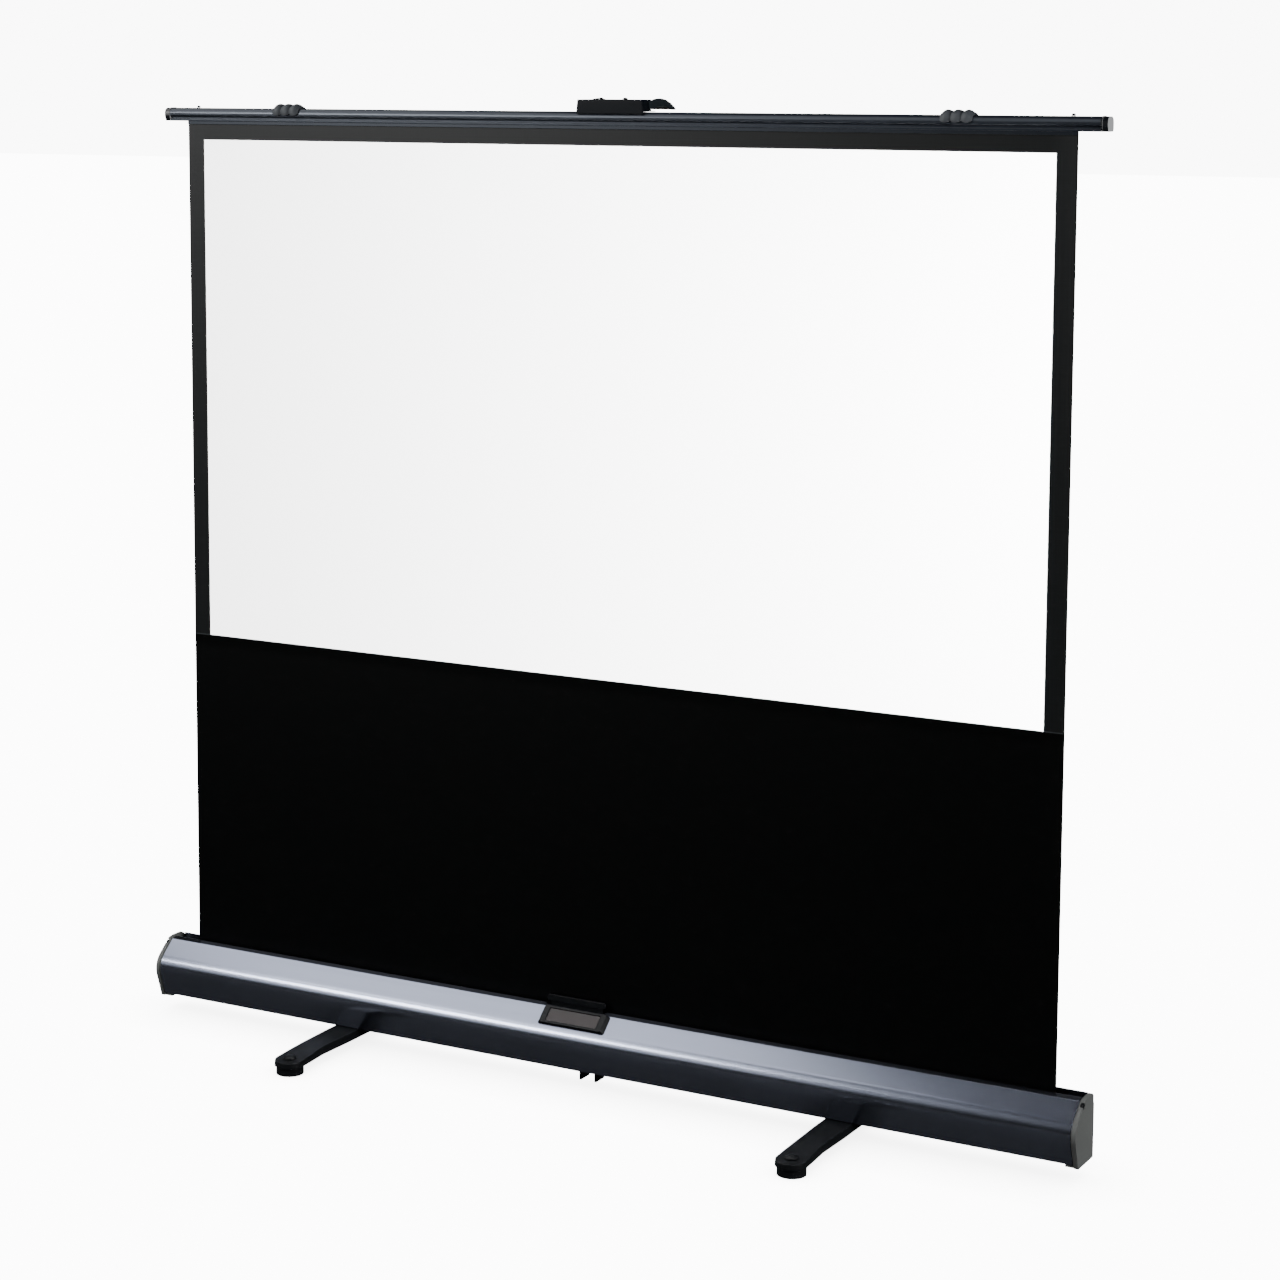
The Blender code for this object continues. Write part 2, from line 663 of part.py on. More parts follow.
def build_pin(name, place):
    """A rivet through both layers, with a flat head each side and a spacing collar between."""
    front = LAYER_A_Y - ARM_THICK / 2 - GAP
    rear = LAYER_B_Y + ARM_THICK / 2 + GAP
    middle = (LAYER_A_Y + LAYER_B_Y) / 2
    profile = [
        (0, front - 0.0008), (PIN_HEAD_RADIUS - 0.0006, front - 0.0008),
        (PIN_HEAD_RADIUS, front), (PIN_RADIUS, front), (PIN_RADIUS, middle - 0.0002),
        (PIN_HEAD_RADIUS - 0.0010, middle - 0.0002), (PIN_HEAD_RADIUS - 0.0010, middle + 0.0002),
        (PIN_RADIUS, middle + 0.0002), (PIN_RADIUS, rear), (PIN_HEAD_RADIUS, rear),
        (PIN_HEAD_RADIUS, rear + 0.0008), (PIN_HEAD_RADIUS - 0.0010, rear + 0.0014), (0, rear + 0.0014),
    ]
    flipped = [(radius, -height) for radius, height in profile]
    pin = turned(name, flipped, (place[0], 0, place[1]), "Y", "steel", steps=10)
    pin.rotation_euler = (math.pi / 2, 0, 0)
    set_origin(pin, (place[0], middle, place[1]))
    return pin


def build_slider(name, x, pivot_z, layer, rail_z, up, finish, half=0.0150):
    """An ear beside a link's end, with a neck and a T head that runs in a slotted rail.

    rail_z is the rail's lip on the ear's side, and up says whether the rail is above the pivot.
    """
    toward = 1 if up else -1
    ear = LAYER_A_Y if layer == "A" else LAYER_B_Y
    boss = 0.0088
    reach = abs(rail_z - pivot_z) - GAP
    outline = arc((0, 0), boss, 180, 360, 12)
    outline = outline + [(boss, reach * 0.45), (half, reach - 0.004), (half, reach)]
    outline = outline + [(-half, reach), (-half, reach - 0.004), (-boss, reach * 0.45)]
    outline = [(x + u, pivot_z + toward * v) for u, v in outline]
    hole = [(x + u, pivot_z + v) for u, v in arc((0, 0), PIN_RADIUS + GAP, 0, 360 - 22.5, 15)]
    part = extruded(name, outline, (ear - 0.0018, ear + 0.0018), "Y", finish, holes=[hole], smooth=30)
    lip = 0.0016
    low = rail_z - toward * (GAP + 0.0010)
    mid = rail_z + toward * (lip + GAP * 2)
    top = rail_z + toward * (lip + GAP * 2 + 0.0036)
    front, rear = (0.0228, 0.0290) if layer == "A" else (0.0238, 0.0302)
    neck = block(name + "_neck", (x - half, front, min(low, mid)), (x + half, rear, max(low, mid)),
                 None, group=CUTTERS)
    head = block(name + "_head", (x - half, 0.0220, min(mid, top)), (x + half, 0.0312, max(mid, top)), None,
                 group=CUTTERS)
    cut(part, neck, "UNION")
    cut(part, head, "UNION")
    return settle(part, 30)


def nodes_up():
    """The pivots of the raised linkage in (x, z): left and right, from the bottom up."""
    half = math.sqrt(LINK**2 - STAGE_UP**2) / 2
    left = [(-half, BASE_PIVOT_Z + STAGE_UP * i) for i in range(3)]
    right = [(half, BASE_PIVOT_Z + STAGE_UP * i) for i in range(3)]
    return left, right


def build_scissor():
    """Four links in two layers, eight pins, the tracks and the four rail pieces."""
    left, right = nodes_up()
    build_arm("arm_a1", left[0], right[1], LAYER_A_Y)
    build_arm("arm_b1", right[0], left[1], LAYER_B_Y)
    build_arm("arm_a2", left[1], right[2], LAYER_A_Y)
    build_arm("arm_b2", right[1], left[2], LAYER_B_Y)
    for stage in (0, 1):
        centre = (0, BASE_PIVOT_Z + STAGE_UP * (stage + 0.5))
        build_pin("cross_pin_%d" % (stage + 1), centre)
    build_pin("base_pin", left[0])
    build_pin("lower_shoe_pin", right[0])
    build_pin("knee_pin_left", left[1])
    build_pin("knee_pin_right", right[1])
    build_pin("top_pin", left[2])
    build_pin("upper_shoe_pin", right[2])
    track_top = 0.0432
    path = [(0.0224, track_top, 0), (0.0200, track_top, 0), (0.0200, 0.0335, 0), (0.0336, 0.0335, 0),
            (0.0336, track_top, 0), (0.0306, track_top, 0)]
    extruded("lower_track", skin(path, 0.0014), (-0.170, 0.700), "X", "aluminium")
    build_slider("base_bracket", left[0][0], BASE_PIVOT_Z, "B", track_top, False, "steel", 0.024)
    build_slider("lower_shoe", right[0][0], BASE_PIVOT_Z, "A", track_top, False, "dark_plastic")
    build_slider("top_bracket", left[2][0], left[2][1], "A", BAR_BOTTOM, True, "steel", 0.024)
    build_slider("upper_shoe", right[2][0], right[2][1], "B", BAR_BOTTOM, True, "dark_plastic")


def bar_corners():
    """Corners of the top bar from the rear of its slot, over the round top, to the lip below the front."""
    top = BAR_BOTTOM + BAR_HEIGHT
    return [
        (0.0325, BAR_BOTTOM, 0),
        (BAR_REAR, BAR_BOTTOM, 0.0040),
        (BAR_REAR, top, BAR_ROUND),
        (BAR_FRONT, top, BAR_ROUND),
        (BAR_FRONT, BAR_BOTTOM + 0.0127, 0),
        (BAR_FRONT + 0.0006, BAR_BOTTOM + 0.0121, 0),
        (BAR_FRONT, BAR_BOTTOM + 0.0115, 0),
        (BAR_FRONT, BAR_BOTTOM + 0.0098, 0.0020),
        (0.0166, BAR_BOTTOM + 0.0066, 0.0008),
        (0.0166, BAR_BOTTOM + 0.0040, 0.0005),
        (0.0146, BAR_BOTTOM + 0.0032, 0.0005),
        (0.0146, BAR_BOTTOM, 0.0008),
        (0.0205, BAR_BOTTOM, 0),
    ]


def bar_end(proud):
    """Closed outline of the bar's end: its round top with a plain closed bottom."""
    top = BAR_BOTTOM + BAR_HEIGHT + proud
    return closed_rounded(
        [
            (BAR_FRONT - proud + 0.0034, BAR_BOTTOM, 0.0030), (BAR_REAR + proud, BAR_BOTTOM, 0.0050),
            (BAR_REAR + proud, top, BAR_ROUND + proud), (BAR_FRONT - proud, top, BAR_ROUND + proud),
            (BAR_FRONT - proud, BAR_BOTTOM + 0.0085, 0.0060),
        ],
        steps=5,
    )


def build_top_bar():
    """The bar extrusion, its round end caps with a rim, the fabric clamp strip and the two top pins."""
    section = skin(bar_corners(), BAR_WALL, 6)
    extruded("top_bar", section, (-BAR_HALF, BAR_HALF), "X", "black_bar", smooth=25)
    top = BAR_BOTTOM + BAR_HEIGHT
    for side in (-1, 1):
        label = "right" if side > 0 else "left"
        inner, outer = side * (BAR_HALF + GAP), side * (BAR_HALF + BAR_CAP)
        body = sorted((inner + side * 0.0010, outer))
        cap = extruded("bar_cap_" + label, bar_end(0.0), body, "X", "cap_grey", smooth=35)
        soften(cap, 0.0020, 2)
        rim = extruded("bar_cap_rim", bar_end(0.0008), sorted((inner, inner + side * 0.0022)), "X", None,
                       group=CUTTERS)
        cut(cap, rim, "UNION")
        turned("bar_pin_" + label, [(0, 0.0038), (0.0018, 0.0036), (0.0029, 0.0026), (0.0031, 0), (0, 0)],
               (BAR_PIN_X[side], 0.0260, top + GAP), "Z", "black_plastic", steps=16)
    block("fabric_clamp", (-FABRIC_HALF, 0.0166, BAR_BOTTOM - 0.0055),
          (FABRIC_HALF, FABRIC_Y - FABRIC_THICK / 2 - GAP, BAR_BOTTOM - GAP), "black_bar", 0.0004, 1)


def saddle_point(v):
    """A point (y, z) of the saddle's underside and the way out from the bar there, front to rear."""
    top = BAR_BOTTOM + BAR_HEIGHT
    radius = BAR_ROUND + GAP * 2
    front, rear = BAR_FRONT + BAR_ROUND, BAR_REAR - BAR_ROUND
    steep, gentle = math.radians(100), math.radians(50)
    lengths = (radius * steep, rear - front, radius * gentle)
    run = v * sum(lengths)
    if run <= lengths[0]:
        angle = math.pi / 2 + steep - run / radius
        centre = front
    elif run <= lengths[0] + lengths[1]:
        return Vector((front + run - lengths[0], top + GAP * 2)), Vector((0, 1))
    else:
        angle = math.pi / 2 - (run - lengths[0] - lengths[1]) / radius
        centre = rear
    out = Vector((math.cos(angle), math.sin(angle)))
    return Vector((centre, top - BAR_ROUND)) + out * radius, out


def build_saddle(side):
    """A ribbed rubber saddle over the bar: three full lobes side by side, thin at every edge."""
    name = "saddle_pad_right" if side > 0 else "saddle_pad_left"
    across, along, lobes = 18, 8, 3
    rows = []
    for i in range(across + 1):
        u = i / across
        swell = abs(math.sin(math.pi * lobes * u)) ** 0.7
        ends = min(1.0, 0.35 + 5 * u, 0.35 + 5 * (1 - u))
        row = []
        for k in range(along + 1):
            start = 0.08 * (1 - swell)
            v = start + (1 - 1.6 * start) * k / along
            place, out = saddle_point(v)
            hump = math.sin(math.pi * min(1.0, 0.05 + 0.95 * k / along)) ** 0.6 if k < along else 0.0
            thick = 0.0016 + 0.0064 * hump * (0.42 + 0.58 * swell) * ends
            row.append((place, place + out * thick))
        rows.append(row)
    bm = bmesh.new()
    grids = []
    for layer in (0, 1):
        grid = []
        for i, row in enumerate(rows):
            x = SADDLE_X[side] + SADDLE_LENGTH * (i / across - 0.5)
            grid.append([bm.verts.new((x, pair[layer].x, pair[layer].y)) for pair in row])
        grids.append(grid)
    for grid in grids:
        for i in range(across):
            for k in range(along):
                bm.faces.new((grid[i][k], grid[i + 1][k], grid[i + 1][k + 1], grid[i][k + 1]))
    under, over = grids
    for i in range(across):
        bm.faces.new((under[i][0], under[i + 1][0], over[i + 1][0], over[i][0]))
        bm.faces.new((under[i][along], under[i + 1][along], over[i + 1][along], over[i][along]))
    for k in range(along):
        bm.faces.new((under[0][k], under[0][k + 1], over[0][k + 1], over[0][k]))
        bm.faces.new((under[across][k], under[across][k + 1], over[across][k + 1], over[across][k]))
    return add_mesh(name, bm, "rubber", smooth=50)


def build_handle():
    """The box on the bar, its two domed screws and the bail that swings up for carrying."""
    half = BOX_WIDTH / 2
    made = set(PARTS.objects)
    profile = [(BOX_FRONT, BOX_SKIRT), (BAR_FRONT, BOX_SKIRT), (BAR_FRONT, BOX_BOTTOM),
               (BOX_REAR, BOX_BOTTOM), (BOX_REAR, BOX_TOP), (BOX_FRONT, BOX_TOP)]
    box = extruded("handle_box", profile, (-half - 0.0022, half + 0.0022), "X", "dark_plastic", smooth=35)
    taper(box, BOX_SKIRT, BOX_TOP, 1 - 0.0022 / half)
    soften(box, 0.0012, 3)
    for side in (-1, 1):
        low, high = sorted((side * (half - 0.0070), side * (half + 0.0060)))
        pocket = block("bail_pocket", (low, HANDLE_PIVOT[0] - 0.0085, HANDLE_PIVOT[1] - 0.0085),
                       (high, BOX_REAR + 0.010, BOX_TOP + 0.010), None, group=CUTTERS)
        cut(box, pocket)
        hole = turned("bail_hole", [(0, 0.0120), (0.0032, 0.0120), (0.0032, -0.0120), (0, -0.0120)],
                      (side * (half - 0.0085), *HANDLE_PIVOT), "X", None, steps=16, group=CUTTERS)
        cut(box, hole)
    for label, x in (("left", -0.026), ("right", 0.018)):
        turned("box_screw_" + label, [(0, 0.0030), (0.0022, 0.0026), (0.0040, 0.0014), (0.0046, 0), (0, 0)],
               (x, 0.0300, BOX_TOP + GAP), "Z", "chrome", steps=18)
    build_bail()
    settle(box, 35)
    for obj in set(PARTS.objects) - made:
        obj.location.x += BOX_X


def bail_side():
    """Side view (y, z) of the bail: hub, arched leg, and the grip that closes it behind."""
    hub = arc(HANDLE_PIVOT, 0.0068, 75, 245, 10)
    under = [(0.0500, 1.6166), (0.0610, 1.6187), (0.0700, 1.6203), (0.0830, 1.6215), (0.0980, 1.6203),
             (0.1110, 1.6160), (0.1260, 1.6146)]
    over = [(0.1312, 1.6156), (0.1250, 1.6197), (0.1120, 1.6262), (0.0950, 1.6315), (0.0780, 1.6338),
            (0.0620, 1.6326)]
    return hub + under + over


def build_bail():
    """The carry handle: two arched legs that pivot in the box's rear corners, and a flat grip."""
    half = BOX_WIDTH / 2
    py, pz = HANDLE_PIVOT
    leg = bail_side()
    bail = None
    for side in (-1, 1):
        low, high = sorted((side * (half - 0.0064), side * (half - 0.0006)))
        piece = extruded("carry_handle" if bail is None else "bail_leg", leg, (low, high), "X",
                         "dark_plastic" if bail is None else None, smooth=35,
                         group=None if bail is None else CUTTERS)
        soften(piece, 0.0008, 1, 50)
        stub_low, stub_high = sorted((side * (half - 0.0150), side * (half - 0.0040)))
        length = stub_high - stub_low
        stub = turned("bail_stub", [(0, length), (0.0028, length), (0.0028, 0), (0, 0)],
                      (stub_low, py, pz), "X", None, steps=14, group=CUTTERS)
        if bail is None:
            bail = piece
        else:
            cut(bail, piece, "UNION")
        cut(bail, stub, "UNION")
    grip = [(0.1040, 1.6189), (0.1112, 1.6164), (0.1258, 1.6150), (0.1306, 1.6158), (0.1248, 1.6193),
            (0.1119, 1.6257), (0.1040, 1.6284)]
    bar = extruded("bail_grip", grip, (-half + 0.0030, half - 0.0030), "X", None, group=CUTTERS)
    cut(bail, bar, "UNION")
    settle(bail, 35)
    return set_origin(bail, (0, py, pz))


def foot_half(y):
    """Half width of a foot arm at a distance y from its pivot."""
    if y < 0.050:
        return 0.0250
    if y < FOOT_CREASE:
        return 0.0250 - 0.0020 * (y - 0.050) / (FOOT_CREASE - 0.050)
    return 0.0230 + 0.0034 * (y - FOOT_CREASE) / (FOOT_REACH - FOOT_CREASE)


def foot_top(y):
    """Height of a foot arm's upper face at a distance y from its pivot."""
    if y < FOOT_CREASE:
        return 0.0300
    return 0.0300 - 0.0068 * (y - FOOT_CREASE) / (FOOT_REACH + FOOT_TIP_RADIUS - FOOT_CREASE)


def build_foot(side):
    """A moulded bar under the case with a levelling pad at each end, drawn as a lofted outline."""
    name = "foot_right" if side > 0 else "foot_left"
    stations = [0.0, 0.050, FOOT_CREASE, 0.150, 0.172]
    edge = [(foot_half(y), y) for y in stations]
    tip = arc((0, FOOT_REACH), FOOT_TIP_RADIUS, 10, 90, 6)
    right = edge + tip
    quarter = right + [(-u, v) for u, v in reversed(right[:-1])]
    outline = quarter + [(u, -v) for u, v in reversed(quarter[1:-1])]
    outline = [(-u, v) for u, v in outline]
    bm = bmesh.new()
    low, high = [], []
    for u, v in outline:
        under = 0.0160 if abs(v) < FOOT_CREASE else 0.0160 - 0.0022 * (abs(v) - FOOT_CREASE) / 0.09
        low.append(bm.verts.new((u, v, under)))
        high.append(bm.verts.new((u * 0.97, v * 0.997, foot_top(abs(v)))))
    count = len(outline)
    for i in range(count):
        k = (i + 1) % count
        bm.faces.new((low[i], low[k], high[k], high[i]))
    bm.faces.new(low)
    bm.faces.new(high)
    bmesh.ops.triangulate(bm, faces=[f for f in bm.faces if len(f.verts) > 4])
    foot = add_mesh(name, bm, "black_plastic", smooth=25)
    soften(foot, 0.0012, 1, 50)
    settle(foot, 25)
    foot.location = (side * FOOT_X, 0, 0)
    bore = turned("foot_bore", [(0, 0.040), (0.0063, 0.040), (0.0063, 0.010), (0, 0.010)],
                  (side * FOOT_X, 0, 0), "Z", None, steps=20, group=CUTTERS)
    cut(foot, bore)
    for end in (-1, 1):
        hole = turned("stud_hole", [(0, 0.040), (0.0043, 0.040), (0.0043, 0.005), (0, 0.005)],
                      (side * FOOT_X, end * FOOT_REACH, 0), "Z", None, steps=16, group=CUTTERS)
        cut(foot, hole)
    settle(foot, 25)
    turned("foot_pivot_right" if side > 0 else "foot_pivot_left",
           [(0, CASE_BOTTOM - GAP), (0.0060, CASE_BOTTOM - GAP), (0.0060, 0.0160 - GAP),
            (0.0120, 0.0160 - GAP), (0.0120, 0.0130), (0.0108, 0.0118), (0, 0.0118)],
           (side * FOOT_X, 0, 0), "Z", "steel", steps=20)
    return foot


def build_pad(side, end):
    """A knurled levelling pad, its stud and the domed head on top, turning as one."""
    name = "levelling_pad_%s_%s" % ("right" if side > 0 else "left", "rear" if end > 0 else "front")
    flutes = 16
    outline = []
    for i in range(flutes * 2):
        angle = math.pi * i / flutes
        radius = PAD_RADIUS if i % 2 else PAD_RADIUS - 0.0007
        outline.append((radius * math.cos(angle), radius * math.sin(angle)))
    disc = extruded(name, outline, (0, PAD_HEIGHT - 0.0026), "Z", "rubber", smooth=20)
    disc.location = (side * FOOT_X, end * FOOT_REACH, 0)
    under = 0.0160 - 0.0022 * (FOOT_REACH - FOOT_CREASE) / 0.09
    top = foot_top(FOOT_REACH)
    stud = [
        (0, top + 0.0055), (0.0042, top + 0.0052), (0.0078, top + 0.0043), (0.0102, top + 0.0028),
        (0.0112, top + 0.0012), (0.0040, top + 0.0012), (0.0040, under - 0.0006),
        (PAD_RADIUS - 0.0040, under - 0.0006),
        (PAD_RADIUS - 0.0032, PAD_HEIGHT - 0.0030), (0, PAD_HEIGHT - 0.0030),
    ]
    spindle = turned(name + "_stud", stud, (side * FOOT_X, end * FOOT_REACH, 0), "Z", None, steps=14,
                     group=CUTTERS)
    cut(disc, spindle, "UNION")
    return disc


def build_centre_bracket():
    """A folded bracket under the case with two square ears."""
    web_top = CASE_BOTTOM - GAP
    half = FIN_GAP / 2 + 0.0030
    web = block("centre_bracket", (FIN_X - half, FIN_FRONT, web_top - 0.0025),
                (FIN_X + half, FIN_REAR, web_top), "black_bar")
    for side in (-1, 1):
        centre = FIN_X + side * FIN_GAP / 2
        ear = [(FIN_FRONT, web_top - 0.001), (FIN_REAR, web_top - 0.001), (FIN_REAR, FIN_BOTTOM + 0.0015),
               (FIN_REAR - 0.0015, FIN_BOTTOM), (FIN_FRONT + 0.0015, FIN_BOTTOM),
               (FIN_FRONT, FIN_BOTTOM + 0.0015)]
        fin = extruded("fin", ear, (centre - 0.0014, centre + 0.0014), "X", None, group=CUTTERS)
        cut(web, fin, "UNION")
    return web


def build_fabric():
    """The black backing sheet with its long drop, and the white picture coat in front of it."""
    top = BAR_BOTTOM - GAP
    block("fabric_black", (-FABRIC_HALF, FABRIC_Y - FABRIC_THICK / 2, FABRIC_BOTTOM),
          (FABRIC_HALF, FABRIC_Y + FABRIC_THICK / 2, top), "black_fabric")
    front = FABRIC_Y - FABRIC_THICK / 2 - GAP
    block("picture_surface", (-PICTURE_WIDTH / 2, front - PICTURE_COAT, PICTURE_BOTTOM),
          (PICTURE_WIDTH / 2, front, PICTURE_BOTTOM + PICTURE_HEIGHT), "white_fabric")


def main():
    build_case()
    for side in (-1, 1):
        build_end_cap(side)
        build_end_cap_screw(side)
        build_saddle(side)
        build_foot(side)
        for end in (-1, 1):
            build_pad(side, end)
    build_latch()
    build_roller()
    build_scissor()
    build_top_bar()
    build_handle()
    build_centre_bracket()
    build_fabric()


main()
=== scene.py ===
import math

import bmesh
import bpy
from bpy.props import FloatProperty, FloatVectorProperty, PointerProperty
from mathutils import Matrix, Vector, noise


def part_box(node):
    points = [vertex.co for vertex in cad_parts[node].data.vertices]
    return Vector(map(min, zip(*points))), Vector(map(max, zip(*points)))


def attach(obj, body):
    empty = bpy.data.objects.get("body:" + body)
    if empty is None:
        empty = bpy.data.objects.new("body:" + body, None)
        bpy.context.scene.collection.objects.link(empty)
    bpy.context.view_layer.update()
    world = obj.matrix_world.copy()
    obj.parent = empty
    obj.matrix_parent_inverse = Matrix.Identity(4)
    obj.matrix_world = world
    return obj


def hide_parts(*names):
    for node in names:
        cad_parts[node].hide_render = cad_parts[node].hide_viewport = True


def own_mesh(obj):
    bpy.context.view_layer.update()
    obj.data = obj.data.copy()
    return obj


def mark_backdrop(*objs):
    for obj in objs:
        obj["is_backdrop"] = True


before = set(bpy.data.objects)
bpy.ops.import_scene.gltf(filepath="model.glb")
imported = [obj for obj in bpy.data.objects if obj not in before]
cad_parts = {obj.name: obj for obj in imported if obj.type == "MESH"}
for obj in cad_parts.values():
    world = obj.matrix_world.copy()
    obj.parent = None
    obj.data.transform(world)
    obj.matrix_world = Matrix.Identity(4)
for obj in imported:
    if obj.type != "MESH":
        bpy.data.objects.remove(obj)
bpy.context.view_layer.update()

bl_info = {
    "name": "Portable projection screen",
    "version": (1, 0, 0),
    "blender": (4, 5, 0),
    "location": "View3D > Sidebar > Screen",
    "description": "Dresses a pull-up projection screen: cloth, finishes and a plain studio",
    "category": "Object",
}

# What the script measures in model.glb. Lengths are in metres.
CLOTH_LOW, CLOTH_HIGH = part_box("fabric_black")
PICTURE_LOW, PICTURE_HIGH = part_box("picture_surface")
TURNS_LOW, TURNS_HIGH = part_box("fabric_turns")
CASE_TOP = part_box("case_extrusion")[1].z

# The welded seam's upper edge, just under the picture, the width of the slope beside each hem, and
# how far hems and seam stand out.
SEAM_TOP = PICTURE_LOW.z - 0.0004
HEM_STEP = 0.0008
HEM_RELIEF = 0.00010
SEAM_RELIEF = 0.00015

# The turns left on the roller, and the steps that draw one turn.
TURNS = 2.8
STEPS_PER_TURN = 40

# Edges over these angles stay sharp on the solids and on the sheets. Faces that meet at less than
# ONE_FACE are shaded as one, and corners closer than WELD_GAP are joined.
SOLID_EDGE = math.radians(35)
SHEET_EDGE = math.radians(40)
ONE_FACE = math.radians(0.3)
WELD_GAP = 0.00001


# Settings


def colour_setting(name, text, value):
    """A colour."""
    return FloatVectorProperty(name=name, description=text, subtype="COLOR", size=3,
                               min=0.0, max=1.0, default=value)


def length_setting(name, text, value):
    """A length in metres."""
    return FloatProperty(name=name, description=text, default=value, min=0.0, unit="LENGTH", precision=4)


def angle_setting(name, text, degrees):
    """An angle, shown in degrees."""
    return FloatProperty(name=name, description=text, default=math.radians(degrees), subtype="ANGLE")


def power_setting(name, text, value):
    """The power of a light."""
    return FloatProperty(name=name, description=text + ", in watts", default=value, min=0.0)


def number_setting(name, text, value, **limits):
    """A plain number, with limits where it needs them."""
    return FloatProperty(name=name, description=text, default=value, **limits)


class ScreenClothSettings(bpy.types.PropertyGroup):
    """Sizes of the cloth."""

    cloth_thickness: length_setting("Cloth thickness", "Thickness of the black backing", 0.00045)
    picture_thickness: length_setting("Picture thickness", "Thickness of the white coat", 0.00030)
    seam_width: length_setting("Seam width", "Width of the welded seam under the picture", 0.0024)
    hem_width: length_setting("Hem width", "Width of the turned hem down each side", 0.0045)
    ripple: length_setting("Ripple", "Depth of the slow waves in the hanging drop", 0.0006)


class ScreenColourSettings(bpy.types.PropertyGroup):
    """Colours of the finishes."""

    gunmetal: colour_setting("Gunmetal", "Anodised floor case", (0.300, 0.328, 0.420))
    bar_black: colour_setting("Bar black", "Anodised top bar", (0.024, 0.030, 0.041))
    cap_grey: colour_setting("Cap grey", "Moulded end caps", (0.135, 0.142, 0.138))
    # Painted light: the bar caps' ends are painted pale, as lit ends.
    bar_cap: colour_setting("Bar cap", "End discs of the top bar's caps", (0.42, 0.43, 0.44))
    moulding: colour_setting("Moulding", "Handle box, bar caps and shoes", (0.0060, 0.0078, 0.0105))
    handle_black: colour_setting("Handle black", "Smooth carry handle", (0.022, 0.029, 0.034))
    plate_brown: colour_setting("Plate brown", "Press plate of the latch", (0.062, 0.054, 0.055))
    rubber: colour_setting("Rubber", "Saddles on the top bar", (0.050, 0.056, 0.064))
    foot_black: colour_setting("Foot black", "Feet, pads, bezel and hook", (0.0080, 0.0090, 0.0105))
    cloth_black: colour_setting("Cloth black", "Backing and drop", (0.0003, 0.0004, 0.0005))
    # Partly the border's own matt coat and partly painted sheen: lighter than the drop, as the light on the
    # upper cloth.
    border_black_and_sheen: colour_setting("Border black", "Matt border round the picture",
                                 (0.0080, 0.0092, 0.0098))
    cloth_white: colour_setting("Cloth white", "Picture surface", (0.86, 0.86, 0.86))
    steel: colour_setting("Steel", "Plated pins and brackets", (0.56, 0.56, 0.57))
    aluminium: colour_setting("Aluminium", "Links, tracks and roller", (0.62, 0.63, 0.65))


class ScreenStageSettings(bpy.types.PropertyGroup):
    """Camera and lights."""

    lens: number_setting("Lens", "Focal length of the camera in millimetres", 85.15, min=10.0)
    turn: angle_setting("Turn", "How far round the right the camera stands", 30.300)
    tilt: angle_setting("Tilt", "How far the camera looks down", 7.266)
    place: FloatVectorProperty(name="Place", description="Where the camera stands", subtype="TRANSLATION",
                               unit="LENGTH", size=3, default=(2.3473, -4.2677, 1.6915))
    rise: number_setting("Rise", "Vertical shift of the camera's frame", -0.150)
    slide: number_setting("Slide", "Sideways shift of the camera's frame", 0.100)
    room: number_setting("Room", "Brightness of the room behind the screen", 0.30, min=0.0)
    backdrop: number_setting("Backdrop", "Brightness of the backdrop to look at", 12.0, min=0.0)
    floor_tone: number_setting("Floor tone", "How much light the floor throws back", 0.070,
                               min=0.0, max=1.0)
    front_power: power_setting("Front softbox", "Softbox at the front left", 70.0)
    low_power: power_setting("Low softbox", "Softbox at the front left near the floor", 7.0)
    left_power: power_setting("Upper left softbox", "Softbox between the front and the overhead one", 16.0)
    top_power: power_setting("Overhead softbox", "Softbox over the left half", 29.0)
    right_power: power_setting("Right softbox", "Softbox at the right", 100.0)
    rear_power: power_setting("Rear softbox", "Softbox behind the screen", 60.0)
    picture_power: power_setting("Picture softbox", "Light on the picture alone", 1100.0)
    bar_power: power_setting("Bar softbox", "Light on the right half of the top bar", 14.0)
    linkage_power: power_setting("Linkage softbox", "Light on the linkage and the back of the case", 24.0)


# Shader helpers

FLOAT = "NodeSocketFloat"
VECTOR = "NodeSocketVector"


def new_group(name, inputs, outputs):
    """An empty shader group with its sockets: (name, type, default) in, (name, type) out."""
    group = bpy.data.node_groups.new(name, "ShaderNodeTree")
    for label, kind, value in inputs:
        socket = group.interface.new_socket(label, in_out="INPUT", socket_type=kind)
        socket.default_value = value
    for label, kind in outputs:
        group.interface.new_socket(label, in_out="OUTPUT", socket_type=kind)
    return group, group.nodes.new("NodeGroupInput"), group.nodes.new("NodeGroupOutput")


def link(tree, source, target):
    """Joins an output to an input."""
    tree.links.new(source, target)


def maths(tree, kind, first, second=None):
    """A maths node whose inputs are sockets or numbers."""
    node = tree.nodes.new("ShaderNodeMath")
    node.operation = kind
    for slot, value in zip(node.inputs, (first, second)):
        if value is None:
            continue
        if isinstance(value, (int, float)):
            slot.default_value = value
        else:
            link(tree, value, slot)
    return node.outputs[0]


def ramp(tree, value, low, high, out_low=0.0, out_high=1.0):
    """Maps a value from one range to another and stays inside it."""
    node = tree.nodes.new("ShaderNodeMapRange")
    node.inputs["From Min"].default_value = low
    node.inputs["From Max"].default_value = high
    node.inputs["To Min"].default_value = out_low
    node.inputs["To Max"].default_value = out_high
    link(tree, value, node.inputs["Value"])
    return node.outputs["Result"]


def noise_field(tree, vector, scale, detail=2.0, rough=0.5):
    """A noise between 0 and 1."""
    node = tree.nodes.new("ShaderNodeTexNoise")
    node.inputs["Scale"].default_value = scale
    node.inputs["Detail"].default_value = detail
    node.inputs["Roughness"].default_value = rough
    link(tree, vector, node.inputs["Vector"])
    return node.outputs["Fac"]


